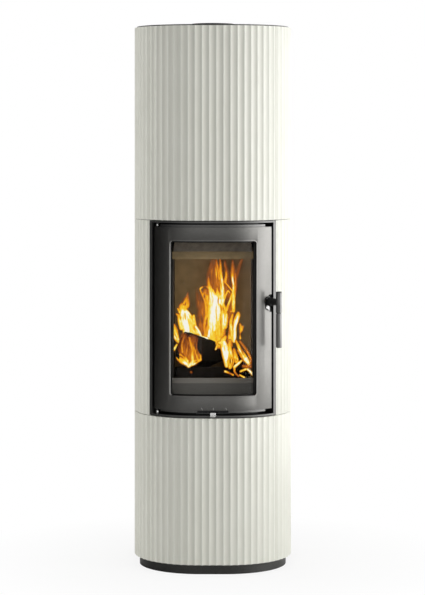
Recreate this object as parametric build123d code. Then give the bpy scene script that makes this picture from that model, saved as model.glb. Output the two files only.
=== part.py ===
"""Tall wood stove clad in fluted ceramic tiles, with a curved glass door in the middle row.

Millimetres, +Z up, the door faces -Y. The origin is on the floor, under the middle of the
overall box. Every piece is its own solid and goes to its own file in parts/.

The plan of the stove is a flat stretch across the front, a quarter circle at each front
corner and straight sides. Places on it are given as a run along the outer face, counted from
the middle of the front with the right side positive, and a set-in, square to that face.
"""
import os
from math import asin, ceil, cos, degrees, floor, pi, sin, sqrt

from build123d import *

# ------------------------------------------------------------------ overall size
BODY_WIDTH = 500.0        # over the tiles
BODY_DEPTH = 440.0        # over the tiles, without knob and rear stub
FRONT_FLAT = 80.0         # flat stretch across the middle of the front
KNOB_PROUD = 8.0          # air knob in front of the tile face
STUB_OUT = 50.0           # flue stub behind the tiles
AIR_STUB_OUT = 30.0       # air stub behind the tiles

# ------------------------------------------------------------------ heights
PLINTH_HEIGHT = 27.0
BASE_SHEET = 3.5
LOWER_TILE_HEIGHT = 455.0
UPPER_TILE_HEIGHT = 607.0
TILE_JOINT = 1.5          # joint between the rows, and between tiles side by side
TOP_SHEET = 3.5

# ------------------------------------------------------------------ tiles
TILE_THICKNESS = 28.0
FLUTE_PITCH = 22.2
FLUTE_DEPTH = 3.2
FRONT_FLUTES = 20         # flutes across the front tile, the outer two shared with the sides
TAPE_SET_IN = 8.0
TAPE_WIDTH = 14.0

# ------------------------------------------------------------------ door surround
SURROUND_JOINT = 1.8      # between surround and tile, along the face
SURROUND_BELOW = 3.5      # between the lower tile and the surround
SURROUND_ABOVE = 2.5      # between the surround and the upper tile
LIP_WIDTH = 12.1
LIP_THICKNESS = 5.0
LIP_SET_IN = 1.0
WALL = 5.0                # side, top and bottom walls of the surround
CHANNEL_FLOOR = 4.0
SURROUND_DEPTH = 48.0     # set-in of the surround's rear
LAND_THICKNESS = 4.0      # face that the door rope closes against
MOUTH_HALF_RUN = 164.5
MOUTH_BELOW = 14.0        # mouth below and above the window
LAND_HALF_RUN = 182.0
LAND_MARGIN = 7.0         # channel between the surround's wall and the land, at top and bottom

# ------------------------------------------------------------------ door
DOOR_SIDE_GAP = 6.3
DOOR_BOTTOM_GAP = 16.0    # from the surround's bottom wall to the door panel
DOOR_TOP_GAP = 13.0
DOOR_SET_IN = 3.0
PANEL_THICKNESS = 7.0
HINGE_EDGE_ROUND = 5.0
INNER_FRAME_THICKNESS = 16.0
FLANGE_HALF_RUN = 180.0
FLANGE_REACH = 7.5        # inner frame past the panel, at top and bottom
WINDOW_HALF_RUN = 142.0
WINDOW_FROM_BOTTOM = 44.0
WINDOW_HEIGHT = 481.0
WINDOW_FROM_TOP = 43.5
WINDOW_CORNER = 9.0
REVEAL_WALL = 8.0
REVEAL_DEPTH = 5.0        # reveal behind the panel
GLASS_SEAL_THICKNESS = 2.0
GLASS_THICKNESS = 4.0
GLASS_OVERLAP = 10.0
GLASS_CLEARANCE = 2.0
ROPE_WIDTH = 10.0
ROPE_HALF_RUN = 173.0
ROPE_CLEARANCE = 0.3

# ------------------------------------------------------------------ hinge
PIN_RADIUS = 4.5
PIN_SET_IN = 13.0
PIN_FROM_EDGE = 5.6       # hinge axis from the door's edge, along the face
PIN_IN_DOOR = 20.0
RUNNING_CLEARANCE = 0.05

# ------------------------------------------------------------------ handle and latch
HANDLE_HEIGHT = 847.0
HANDLE_FROM_EDGE = 10.0
NOTCH_HALF_WIDTH = 29.0
NOTCH_FLOOR_HALF_WIDTH = 22.0
NOTCH_DROP = 4.0
NOTCH_DEPTH = 12.0
HUB_HALF_WIDTH = 11.0
HUB_CLEARANCE = 0.3
BAR_RADIUS = 8.4
BAR_STAND_OFF = 42.0      # bar axis in front of the tile face line
BAR_ABOVE = 29.0
SLEEVE_BELOW = 36.0
BAR_BELOW = 144.0
GRIP_RADIUS = 8.1
SPINDLE_RADIUS = 5.0
BUSH_RADIUS = 7.5
TONGUE_THICKNESS = 4.0
TONGUE_REACH = 13.0
TONGUE_HEIGHT = 10.0
TONGUE_ROOT_RADIUS = 7.5
TONGUE_GAP = 1.5
NUT_HALF_WIDTH = 6.5
NUT_HEIGHT = 6.0

# ------------------------------------------------------------------ firebox
FIREBOX_POST_GAP = 23.0   # between the firebox and the posts behind the side tiles
FIREBOX_SHEET = 5.0
FIREBOX_FROM_BACK = 50.0  # from the firebox's rear wall to the tiles' rear edges
FIREBOX_FLOOR_RISE = 12.0  # firebox underside above the surround's underside
SMOKE_GAP = 35.0          # between the upper baffle and the firebox top
LINING = 32.0
LINING_CLEARANCE = 0.5
LINING_FRONT = 130.0
BASE_BRICK = 39.0
BAFFLE_DROP = 64.0        # baffle underside below the window's top
BAFFLE_THICKNESS = 24.5
BAFFLE_FRONT = 150.0
UPPER_BAFFLE_RISE = 89.0
DEFLECTOR_HEIGHT = 42.0
DEFLECTOR_LEAN = 30.0
DEFLECTOR_TAPER = 5.0
DEFLECTOR_SHEET = 3.0
BAFFLE_PASSAGE = 75.0     # way for the smoke behind the upper baffle
UPPER_BAFFLE_THICKNESS = 20.0
RETAINER_FRONT = 84.0
RETAINER_HEIGHT = 94.5
RETAINER_LIP = 14.0
RETAINER_SHEET = 4.0
RETAINER_SIDE_GAP = 2.0   # from the retainer to the firebox's curved front
RETAINER_GAP = 9.0        # from the retainer to the base brick
WELL_FROM_SIDE = 25.5     # from the base brick's side to the well
WELL_FRONT = 150.0
WELL_FROM_BACK = 52.0      # from the base brick's rear to the well
GRATE_REBATE = 6.0
GRATE_THICKNESS = 8.0
GRATE_SLOTS = 11
ASH_PAN_SHEET = 1.5
ASH_PAN_HEIGHT = 24.0

# ------------------------------------------------------------------ flue and heat store
FLUE_RADIUS = 65.0
FLUE_SHEET = 3.0
FLUE_SET_IN = 230.0
FLUE_BRANCH_HEIGHT = 1575.0
FLUE_TOP_GAP = 16.0       # below the tiles' top edge
PLUG_HEIGHT = 10.0
STORE_LAYERS = 4
STORE_FROM_SIDE = 12.0    # set-back of the storage bricks from the firebox's sides
STORE_FRONT = 100.0
STORE_FROM_BACK = 30.0
STORE_TOP_GAP = 6.4       # between the storage bricks and the flue branch
LAYER_GAP = 0.4

# ------------------------------------------------------------------ combustion air
AIR_RADIUS = 50.0
AIR_SHEET = 2.0
AIR_BOX_HALF_WIDTH = 98.0
AIR_BOX_FRONT = 60.0
AIR_BOX_STEP = 118.0
AIR_BOX_BACK = 200.0
AIR_BOX_HEIGHT = 106.0
VALVE_THICKNESS = 4.0
VALVE_GAP = 0.3
VALVE_FRONT = 70.0
VALVE_DEPTH = 36.0
VALVE_MARGIN = 5.0        # plate past its outer port
AIR_TRAVEL = 40.0         # knob travel to each side
STEM_HALF_WIDTH = 7.0
KNOB_HALF_WIDTH = 8.5
KNOB_HEIGHT = 13.5
PORT_WIDTH = 20.0
PORT_DEPTH = 18.0

# ------------------------------------------------------------------ stand, carriers, covers
TUBE = 25.0
TUBE_WALL = 2.0
STAND_FROM_SIDE = 12.0    # from the firebox's side to the middle of the stand's tubes
STAND_FRONT = 125.0
POST = 20.0
RING_GAP = 0.3
RING_SHEET = 4.0
RING_WIDTH = 16.7
RING_BENDS = 6            # straight strips round each front corner
LINTEL_SHEET = 2.0
COVER_SHEET = 2.0
COVER_SET_IN = 4.0
COVER_SIDE_GAP = 1.0
COVER_SPLIT_GAP = 0.8
LOUVRE_LENGTH = 60.0
LOUVRE_HEIGHT = 6.0
LOUVRE_ROWS = 5
LOWER_LOUVRE_RISE = 60.0
UPPER_LOUVRE_RISE = 200.0
FLANGE_SHEET = 2.0
FLANGE_WIDTH = 20.0
FLANGE_CLEARANCE = 0.3
COVER_HOLE_GAP = 1.0
PIPE_STEP = 2.0           # pipes inside the casing are larger than their stubs, on the radius
PLINTH_SET_IN = 17.0
PLINTH_SHEET = 5.0
LID_RADIUS = 68.5
LID_HEIGHT = 11.0
LID_SPIGOT = 8.0
LID_PLAY = 0.5
SCREW_ACROSS_FLATS = 10.0
SCREW_HEAD_HEIGHT = 4.0

# ------------------------------------------------------------------ worked-out places
FRONT_Y = KNOB_PROUD - (KNOB_PROUD + BODY_DEPTH + STUB_OUT) / 2
HALF_FLAT = FRONT_FLAT / 2
CORNER_RADIUS = (BODY_WIDTH - FRONT_FLAT) / 2
CORNER_Y = FRONT_Y + CORNER_RADIUS
CORNER_END = HALF_FLAT + CORNER_RADIUS * pi / 2
SIDE_END = CORNER_END + BODY_DEPTH - CORNER_RADIUS
FLUTE_RADIUS = (FLUTE_PITCH ** 2 / 4 + FLUTE_DEPTH ** 2) / (2 * FLUTE_DEPTH)

TILE_BOTTOM = PLINTH_HEIGHT + BASE_SHEET
LOWER_TILE_TOP = TILE_BOTTOM + LOWER_TILE_HEIGHT
MIDDLE_TILE_BOTTOM = LOWER_TILE_TOP + TILE_JOINT
DOOR_BOTTOM = LOWER_TILE_TOP + SURROUND_BELOW + WALL + DOOR_BOTTOM_GAP
WINDOW_BOTTOM = DOOR_BOTTOM + WINDOW_FROM_BOTTOM
WINDOW_TOP = WINDOW_BOTTOM + WINDOW_HEIGHT
DOOR_TOP = WINDOW_TOP + WINDOW_FROM_TOP
UPPER_TILE_BOTTOM = DOOR_TOP + DOOR_TOP_GAP + WALL + SURROUND_ABOVE
MIDDLE_TILE_TOP = UPPER_TILE_BOTTOM - TILE_JOINT
UPPER_TILE_TOP = UPPER_TILE_BOTTOM + UPPER_TILE_HEIGHT
TOP_Z = UPPER_TILE_TOP + TOP_SHEET

FRONT_TILE_RUN = FRONT_FLUTES * FLUTE_PITCH / 2
SURROUND_RUN = FRONT_TILE_RUN - SURROUND_JOINT
SURROUND_BOTTOM = LOWER_TILE_TOP + SURROUND_BELOW
SURROUND_TOP = UPPER_TILE_BOTTOM - SURROUND_ABOVE
INNER_RUN = SURROUND_RUN - LIP_WIDTH
WALL_IN_BOTTOM = SURROUND_BOTTOM + WALL
WALL_IN_TOP = SURROUND_TOP - WALL

DOOR_RUN = INNER_RUN - DOOR_SIDE_GAP
PANEL_BACK = DOOR_SET_IN + PANEL_THICKNESS
REVEAL_BACK = PANEL_BACK + REVEAL_DEPTH
GLASS_FRONT = REVEAL_BACK + GLASS_SEAL_THICKNESS
GLASS_BACK = GLASS_FRONT + GLASS_THICKNESS
INNER_FRAME_BACK = PANEL_BACK + INNER_FRAME_THICKNESS
GLASS_RUN = WINDOW_HALF_RUN + GLASS_OVERLAP
GLASS_BOTTOM = WINDOW_BOTTOM - GLASS_OVERLAP
GLASS_TOP = WINDOW_TOP + GLASS_OVERLAP

LAND_SET_IN = INNER_FRAME_BACK + 6.0 + ROPE_CLEARANCE
MOUTH_BOTTOM = WINDOW_BOTTOM - MOUTH_BELOW
MOUTH_TOP = WINDOW_TOP + MOUTH_BELOW
LAND_BOTTOM = WALL_IN_BOTTOM + LAND_MARGIN
LAND_TOP = WALL_IN_TOP - LAND_MARGIN

PIN_RUN = -(DOOR_RUN - PIN_FROM_EDGE)
HANDLE_RUN = DOOR_RUN - HANDLE_FROM_EDGE

FIREBOX_BOTTOM = SURROUND_BOTTOM + FIREBOX_FLOOR_RISE
FIREBOX_FLOOR = FIREBOX_BOTTOM + FIREBOX_SHEET
POST_X1 = BODY_WIDTH / 2 - TILE_THICKNESS - RING_GAP - RING_WIDTH
FIREBOX_HALF = POST_X1 - POST - FIREBOX_POST_GAP
FIREBOX_BACK = BODY_DEPTH - FIREBOX_FROM_BACK
CHAMBER_HALF = FIREBOX_HALF - FIREBOX_SHEET
CHAMBER_BACK = FIREBOX_BACK - FIREBOX_SHEET
CHAMBER_FRONT = SURROUND_DEPTH + CHANNEL_FLOOR
BRICK_TOP = FIREBOX_FLOOR + BASE_BRICK
BASE_HALF_WIDTH = CHAMBER_HALF - 3 * LINING_CLEARANCE - LINING
BASE_BACK = CHAMBER_BACK - 2 * LINING_CLEARANCE - LINING
WELL_HALF_WIDTH = BASE_HALF_WIDTH - WELL_FROM_SIDE
WELL_DEPTH = BASE_BACK - WELL_FROM_BACK - WELL_FRONT
RETAINER_REACH = sqrt((CORNER_RADIUS - CHAMBER_FRONT) ** 2 - (CORNER_RADIUS - RETAINER_FRONT) ** 2)
RETAINER_HALF_WIDTH = HALF_FLAT + RETAINER_REACH - RETAINER_SIDE_GAP
BAFFLE_Z = WINDOW_TOP - BAFFLE_DROP
UPPER_BAFFLE_Z = BAFFLE_Z + UPPER_BAFFLE_RISE
UPPER_BAFFLE_BACK = CHAMBER_BACK - BAFFLE_PASSAGE
FIREBOX_TOP = UPPER_BAFFLE_Z + UPPER_BAFFLE_THICKNESS + SMOKE_GAP + FIREBOX_SHEET
STORE_ROOM = FLUE_BRANCH_HEIGHT - FLUE_RADIUS - PIPE_STEP - STORE_TOP_GAP - FIREBOX_TOP
FLUE_Y = FRONT_Y + FLUE_SET_IN
COVER_BACK = BODY_DEPTH - COVER_SET_IN
COVER_FRONT = COVER_BACK - COVER_SHEET
VALVE_TOP = FIREBOX_BOTTOM - 1.5
VALVE_BOTTOM = VALVE_TOP - VALVE_THICKNESS
AIR_BOX_TOP = VALVE_BOTTOM - VALVE_GAP
STAND_TOP = FIREBOX_BOTTOM
STAND_RAIL = STAND_TOP - POST
STAND_HALF_WIDTH = FIREBOX_HALF - STAND_FROM_SIDE


# ------------------------------------------------------------------ plan helpers
def on_plan(run, set_in, z=0.0):
    """Point at a run along the outer face, set in square to it."""
    side = 1 if run >= 0 else -1
    run = abs(run)
    if run <= HALF_FLAT:
        return Vector(side * run, FRONT_Y + set_in, z)
    if run <= CORNER_END:
        angle = (run - HALF_FLAT) / CORNER_RADIUS
        x = HALF_FLAT + (CORNER_RADIUS - set_in) * sin(angle)
        return Vector(side * x, CORNER_Y - (CORNER_RADIUS - set_in) * cos(angle), z)
    return Vector(side * (BODY_WIDTH / 2 - set_in), CORNER_Y + run - CORNER_END, z)


def face_plane(run, set_in, z):
    """Plane square to the face: its x runs to the right along it, its y up, its z outwards."""
    side = 1 if run >= 0 else -1
    angle = side * max(0.0, min(abs(run), CORNER_END) - HALF_FLAT) / CORNER_RADIUS
    return Plane(origin=on_plan(run, set_in, z), x_dir=(cos(angle), sin(angle), 0),
                 z_dir=(sin(angle), -cos(angle), 0))


def run_edges(start, end, set_in):
    """Edges that follow the face at one set-in."""
    low, high = min(start, end), max(start, end)
    breaks = [b for b in (-CORNER_END, -HALF_FLAT, HALF_FLAT, CORNER_END) if low < b < high]
    if end < start:
        breaks.reverse()
    stations = [start, *breaks, end]
    edges = []
    for a, b in zip(stations, stations[1:]):
        middle = (a + b) / 2
        if HALF_FLAT < abs(middle) < CORNER_END:
            points = [on_plan(p, set_in) for p in (a, middle, b)]
            edges.append(Edge.make_three_point_arc(*points))
        else:
            edges.append(Edge.make_line(on_plan(a, set_in), on_plan(b, set_in)))
    return edges


def flute_set_in(run):
    """How far the fluted face lies behind the crests, at a run; a flute is centred on the front."""
    across = (run + FLUTE_PITCH / 2) % FLUTE_PITCH - FLUTE_PITCH / 2
    return FLUTE_DEPTH - FLUTE_RADIUS + sqrt(FLUTE_RADIUS ** 2 - across ** 2)


def fluted_edges(start, end):
    """The fluted face from one run to another: one arc for each flute."""
    first = ceil(start / FLUTE_PITCH - 0.5 + 1e-6)
    last = floor(end / FLUTE_PITCH - 0.5 - 1e-6)
    crests = [(n + 0.5) * FLUTE_PITCH for n in range(first, last + 1)]
    stations = [start, *crests, end]
    edges = []
    for a, b in zip(stations, stations[1:]):
        points = [on_plan(p, flute_set_in(p)) for p in (a, (a + b) / 2, b)]
        edges.append(Edge.make_three_point_arc(*points))
    return edges


def raise_plan(edges, bottom, top):
    """Upright solid over a closed outline."""
    face = Face(Wire(edges))
    return extrude(Pos(0, 0, bottom) * face, amount=top - bottom, dir=(0, 0, 1))


def band(start, end, outer, inner, bottom, top):
    """Curved slab between two runs, two set-ins and two heights."""
    edges = run_edges(start, end, outer)
    edges.append(Edge.make_line(on_plan(end, outer), on_plan(end, inner)))
    edges += run_edges(end, start, inner)
    edges.append(Edge.make_line(on_plan(start, inner), on_plan(start, outer)))
    return raise_plan(edges, bottom, top)


def full_band(half_run, outer, inner, bottom, top):
    """Curved slab that is the same on the left and the right."""
    return band(-half_run, half_run, outer, inner, bottom, top)


def d_plan(set_in, back, bottom, top):
    """The stove's plan set in all round the front and sides, closed flat at the back."""
    end = CORNER_END + back - CORNER_RADIUS
    edges = run_edges(-end, end, set_in)
    edges.append(Edge.make_line(on_plan(end, set_in), on_plan(-end, set_in)))
    return raise_plan(edges, bottom, top)


def run_at_x(x, set_in):
    """Run of the point on the front corner that lies at a half width."""
    return HALF_FLAT + CORNER_RADIUS * asin((x - HALF_FLAT) / (CORNER_RADIUS - set_in))


def chamber_plan(set_in, half_width, back, bottom, top):
    """Firebox plan: curved front, straight sides, flat back."""
    end = run_at_x(half_width, set_in)
    edges = run_edges(-end, end, set_in)
    corners = [on_plan(end, set_in), Vector(half_width, FRONT_Y + back),
               Vector(-half_width, FRONT_Y + back), on_plan(-end, set_in)]
    for a, b in zip(corners, corners[1:]):
        edges.append(Edge.make_line(a, b))
    return raise_plan(edges, bottom, top)


def block(x0, x1, d0, d1, z0, z1):
    """Box by its sides, its depths behind the front and its heights."""
    return Pos(x0, FRONT_Y + d0, z0) * Box(x1 - x0, d1 - d0, z1 - z0, align=(Align.MIN,) * 3)


def upright(radius, x, depth, z0, z1):
    """Upright cylinder at a place in plan."""
    return Pos(x, FRONT_Y + depth, z0) * Cylinder(radius, z1 - z0, align=(Align.CENTER, Align.CENTER, Align.MIN))


def rearward(radius, z, d0, d1, x=0.0):
    """Cylinder that runs front to back."""
    rod = Cylinder(radius, d1 - d0, align=(Align.CENTER, Align.CENTER, Align.MIN))
    return Pos(x, FRONT_Y + d0, z) * Rot(X=-90) * rod


def rod_at(plane, radius, low, high):
    """Cylinder along a plane's normal, between two distances from it."""
    rod = Cylinder(radius, high - low, align=(Align.CENTER, Align.CENTER, Align.MIN))
    return plane * Pos(0, 0, low) * rod


def window_cutter(half_run, outer, inner, bottom, top, corner):
    """Curved opening with round corners."""
    cutter = full_band(half_run, outer, inner, bottom, top)
    span = abs(inner - outer)
    corners = [e for e in cutter.edges().filter_by(GeomType.LINE) if abs(e.length - span) < 1e-3]
    return fillet(corners, corner)


def mirrored(shape):
    """The same shape on the other side."""
    return mirror(shape, about=Plane.YZ)


# ------------------------------------------------------------------ tiles
def tile(start, end, bottom, top):
    """Ceramic tile with a fluted face and a smooth curved back."""
    edges = fluted_edges(start, end)
    edges.append(Edge.make_line(on_plan(end, flute_set_in(end)), on_plan(end, TILE_THICKNESS)))
    edges += run_edges(end, start, TILE_THICKNESS)
    edges.append(Edge.make_line(on_plan(start, TILE_THICKNESS), on_plan(start, flute_set_in(start))))
    return raise_plan(edges, bottom, top)


def front_tile(bottom, top):
    """Tile across the front."""
    half = FRONT_TILE_RUN - TILE_JOINT / 2
    return tile(-half, half, bottom, top)


def side_tile(bottom, top):
    """Right-hand tile, from the front joint round to the back edge."""
    return tile(FRONT_TILE_RUN + TILE_JOINT / 2, SIDE_END, bottom, top)


def joint_tapes():
    """Heat-proof tape in the joints between the rows of side tiles."""
    start = FRONT_TILE_RUN + 2 * TILE_JOINT
    end = SIDE_END - 2 * TILE_JOINT
    inner = TAPE_SET_IN + TAPE_WIDTH
    tapes = []
    for low, high in ((LOWER_TILE_TOP, MIDDLE_TILE_BOTTOM), (MIDDLE_TILE_TOP, UPPER_TILE_BOTTOM)):
        right = band(start, end, TAPE_SET_IN, inner, low, high)
        tapes += [right, mirrored(right)]
    return Compound(children=[Solid(t.solid().wrapped) for t in tapes])


# ------------------------------------------------------------------ plinth and carriers
def plinth():
    """Set-back ring that the stove stands on."""
    ring = d_plan(PLINTH_SET_IN, COVER_FRONT - PLINTH_SHEET, 0, PLINTH_HEIGHT)
    return ring - d_plan(PLINTH_SET_IN + PLINTH_SHEET, COVER_FRONT - 2 * PLINTH_SHEET, -1, PLINTH_HEIGHT + 1)


def base_plate():
    """Sheet that the lower tiles stand on."""
    return d_plan(TAPE_SET_IN, COVER_BACK, PLINTH_HEIGHT, TILE_BOTTOM)


def levelling_feet():
    """Four hexagon-head screw feet inside the plinth."""
    pad_radius = 15.0
    pad_height = 6.0
    screw_radius = 5.0
    feet = []
    for x in (-STAND_HALF_WIDTH, STAND_HALF_WIDTH):
        for depth in (STAND_FRONT, FIREBOX_BACK - POST):
            pad = extrude(RegularPolygon(pad_radius, 6), amount=pad_height)
            foot = Pos(x, FRONT_Y + depth, 0) * pad
            foot += upright(screw_radius, x, depth, pad_height, PLINTH_HEIGHT)
            feet.append(foot.solid())
    return Compound(children=feet)


def square_tube(x0, x1, d0, d1, z0, z1, along):
    """Square tube, open at its two ends along one axis."""
    grow = {"x": (-1, TUBE_WALL, TUBE_WALL), "y": (TUBE_WALL, -1, TUBE_WALL), "z": (TUBE_WALL, TUBE_WALL, -1)}[along]
    gx, gy, gz = grow
    return block(x0, x1, d0, d1, z0, z1) - block(x0 + gx, x1 - gx, d0 + gy, d1 - gy, z0 + gz, z1 - gz)


def firebox_stand():
    """Welded stand of square tube under the firebox."""
    outer = STAND_HALF_WIDTH + TUBE / 2
    inner = STAND_HALF_WIDTH - TUBE / 2
    back = FIREBOX_BACK - 5.0
    rails = []
    for depth in (STAND_FRONT, back - TUBE):
        for side in (-1, 1):
            x0, x1 = sorted((side * inner, side * outer))
            rails.append(square_tube(x0, x1, depth, depth + TUBE, TILE_BOTTOM, STAND_RAIL, "z"))
        rails.append(square_tube(-outer, outer, depth, depth + TUBE, STAND_RAIL, STAND_TOP, "x"))
    stand = rails[0]
    for rail in rails[1:]:
        stand += rail
    for side in (-1, 1):
        x0, x1 = sorted((side * inner, side * outer))
        stand += square_tube(x0, x1, STAND_FRONT + TUBE, back - TUBE, STAND_RAIL, STAND_TOP, "y")
    return stand


def post_places():
    """Half width and depths of the upright posts behind the tiles."""
    return POST_X1 - POST, POST_X1, (CORNER_RADIUS + 5.0, COVER_FRONT - POST)


def carrier_posts():
    """Four upright tubes that carry the rings and the rear covers."""
    x0, x1, depths = post_places()
    posts = []
    for depth in depths:
        right = square_tube(x0, x1, depth, depth + POST, TILE_BOTTOM, UPPER_TILE_TOP, "z")
        posts += [right.solid(), mirrored(right).solid()]
    return Compound(children=posts)


def carrier_rings():
    """Three flat rings, bent from straight strips, that hold the tiles from behind."""
    outer = TILE_THICKNESS + RING_GAP
    end = CORNER_END + COVER_FRONT - CORNER_RADIUS
    stations = [HALF_FLAT + n * (CORNER_END - HALF_FLAT) / RING_BENDS for n in range(RING_BENDS + 1)]
    stations = [-end, *[-s for s in reversed(stations)], *stations, end]
    outline = [on_plan(s, outer) for s in stations]
    outline += [on_plan(s, outer + RING_WIDTH) for s in reversed(stations)]
    rings = []
    for z in (LOWER_TILE_TOP - 16.0, UPPER_TILE_BOTTOM, UPPER_TILE_TOP - RING_SHEET - 4.0):
        strip = make_face(Polyline(*outline, close=True))
        rings.append(extrude(Pos(0, 0, z) * strip, amount=RING_SHEET, dir=(0, 0, 1)).solid())
    return Compound(children=rings)


def lintel_shelf():
    """Shelf over the door that the upper front tile stands on."""
    inner = TILE_THICKNESS + RING_GAP + RING_WIDTH
    return full_band(SURROUND_RUN, TAPE_SET_IN, inner, UPPER_TILE_BOTTOM - LINTEL_SHEET, UPPER_TILE_BOTTOM)


# ------------------------------------------------------------------ covers
def louvre_cutters(bottom):
    """Rows of vent slots."""
    row_pitch = 3 * LOUVRE_HEIGHT
    slots = []
    for row in range(LOUVRE_ROWS):
        for x in (-1.5 * LOUVRE_LENGTH, 0.0, 1.5 * LOUVRE_LENGTH):
            z = bottom + row * row_pitch
            half = LOUVRE_LENGTH / 2
            slots.append(block(x - half, x + half, COVER_FRONT - 1, COVER_BACK + 1, z, z + LOUVRE_HEIGHT))
    return slots


def rear_cover(bottom, top, stub_radius, hole_z, louvre_bottom):
    """Flat sheet between the side tiles, with a pipe hole and vent slots."""
    hole_radius = stub_radius + PIPE_STEP + COVER_HOLE_GAP
    half = BODY_WIDTH / 2 - TILE_THICKNESS - COVER_SIDE_GAP
    cover = block(-half, half, COVER_FRONT, COVER_BACK, bottom, top)
    cover -= rearward(hole_radius, hole_z, COVER_FRONT - 1, COVER_BACK + 1)
    for slot in louvre_cutters(louvre_bottom):
        cover -= slot
    return cover


def rear_cover_screws():
    """Hexagon-head screws on the posts."""
    x0, x1, _ = post_places()
    x = (x0 + x1) / 2
    margin = 40.0
    split = UPPER_TILE_BOTTOM
    heads = []
    for z in (TILE_BOTTOM + margin, split / 2, split - margin, split + margin, UPPER_TILE_TOP - margin):
        hexagon = RegularPolygon(SCREW_ACROSS_FLATS / 2, 6, major_radius=False)
        head = extrude(hexagon, amount=-SCREW_HEAD_HEIGHT)
        head = Pos(x, FRONT_Y + COVER_BACK, z) * Rot(X=90) * head
        heads += [head.solid(), mirrored(head).solid()]
    return Compound(children=heads)


def flange_plate(radius, z):
    """Square plate with cut corners round a pipe, on the rear cover."""
    half = radius + FLANGE_WIDTH
    plate = block(-half, half, COVER_BACK, COVER_BACK + FLANGE_SHEET, z - half, z + half)
    plate = chamfer(plate.edges().filter_by(Axis.Y), FLANGE_WIDTH / 2)
    hole = radius + PIPE_STEP + FLANGE_CLEARANCE
    return plate - rearward(hole, z, COVER_BACK - 1, COVER_BACK + FLANGE_SHEET + 1)


def top_plate():
    """Dark sheet over the tiles, with a round opening for an upward flue."""
    plate = d_plan(TAPE_SET_IN, COVER_BACK, UPPER_TILE_TOP, TOP_Z)
    return plate - upright(FLUE_RADIUS + 2 * LID_PLAY, 0, FLUE_SET_IN, UPPER_TILE_TOP - 1, TOP_Z + 1)


def top_lid():
    """Lift-off lid that closes the round opening."""
    lid = upright(LID_RADIUS, 0, FLUE_SET_IN, TOP_Z, TOP_Z + LID_HEIGHT)
    return lid + upright(FLUE_RADIUS + LID_PLAY, 0, FLUE_SET_IN, TOP_Z - LID_SPIGOT, TOP_Z)


# ------------------------------------------------------------------ door surround
def door_surround():
    """Frame round the door: lip, walls, latch channel, land for the rope, throat to the firebox."""
    tall = (SURROUND_BOTTOM, SURROUND_TOP)
    wall_run = INNER_RUN + WALL
    frame = full_band(SURROUND_RUN, LIP_SET_IN, LIP_SET_IN + LIP_THICKNESS, *tall)
    frame += full_band(wall_run, LIP_SET_IN, SURROUND_DEPTH, *tall)
    floor_front = SURROUND_DEPTH - CHANNEL_FLOOR
    frame -= full_band(INNER_RUN, LIP_SET_IN - 1, floor_front, WALL_IN_BOTTOM, WALL_IN_TOP)
    wall = CHANNEL_FLOOR
    land = full_band(LAND_HALF_RUN, LAND_SET_IN, SURROUND_DEPTH, LAND_BOTTOM, LAND_TOP)
    hollow = full_band(LAND_HALF_RUN - wall, LAND_SET_IN + LAND_THICKNESS, SURROUND_DEPTH + 1,
                       LAND_BOTTOM + wall, LAND_TOP - wall)
    hollow -= full_band(MOUTH_HALF_RUN + wall, LAND_SET_IN, SURROUND_DEPTH + 2,
                        MOUTH_BOTTOM - wall, MOUTH_TOP + wall)
    frame -= hollow
    frame += land - hollow
    frame -= full_band(MOUTH_HALF_RUN, LAND_SET_IN - 1, SURROUND_DEPTH + 1, MOUTH_BOTTOM, MOUTH_TOP)
    slot_half = AIR_TRAVEL + STEM_HALF_WIDTH + 5.0
    frame -= block(-slot_half, slot_half, floor_front - 1, SURROUND_DEPTH + 1, WALL_IN_BOTTOM, LAND_BOTTOM)
    for z in (SURROUND_BOTTOM, WALL_IN_TOP):
        frame -= pin_rod(PIN_RADIUS, z - 1, z + WALL + 1)
    return frame


def pin_rod(radius, z0, z1):
    """Upright rod on the hinge axis."""
    place = on_plan(PIN_RUN, PIN_SET_IN)
    return upright(radius, place.X, place.Y - FRONT_Y, z0, z1)


def hinge_pins():
    """Two pins that the door hangs on, fixed in the surround's top and bottom walls."""
    lower = pin_rod(PIN_RADIUS, SURROUND_BOTTOM, DOOR_BOTTOM + PIN_IN_DOOR)
    upper = pin_rod(PIN_RADIUS, DOOR_TOP - PIN_IN_DOOR, SURROUND_TOP)
    return Compound(children=[lower.solid(), upper.solid()])


def hinge_bores():
    """Running bores for the pins, in the door's top and bottom edges."""
    radius = PIN_RADIUS + RUNNING_CLEARANCE
    lower = pin_rod(radius, DOOR_BOTTOM - PIN_IN_DOOR, DOOR_BOTTOM + PIN_IN_DOOR + 1.0)
    return lower + pin_rod(radius, DOOR_TOP - PIN_IN_DOOR - 1.0, DOOR_TOP + PIN_IN_DOOR)


# ------------------------------------------------------------------ door
def handle_notch():
    """Eight-sided funnel in the door's edge, where the handle's hub sits."""
    slope = (NOTCH_HALF_WIDTH - NOTCH_FLOOR_HALF_WIDTH) / NOTCH_DEPTH
    mouth_width = NOTCH_HALF_WIDTH + slope * DOOR_SET_IN
    floor_depth = DOOR_SET_IN + NOTCH_DEPTH
    sections = []
    for depth, half_width in ((0.0, mouth_width), (floor_depth, NOTCH_FLOOR_HALF_WIDTH)):
        octagon = RegularPolygon(half_width, 8, major_radius=False, rotation=22.5)
        sections.append(handle_plane() * Pos(HANDLE_FROM_EDGE, -NOTCH_DROP, -depth) * octagon)
    return loft(sections)


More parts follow.
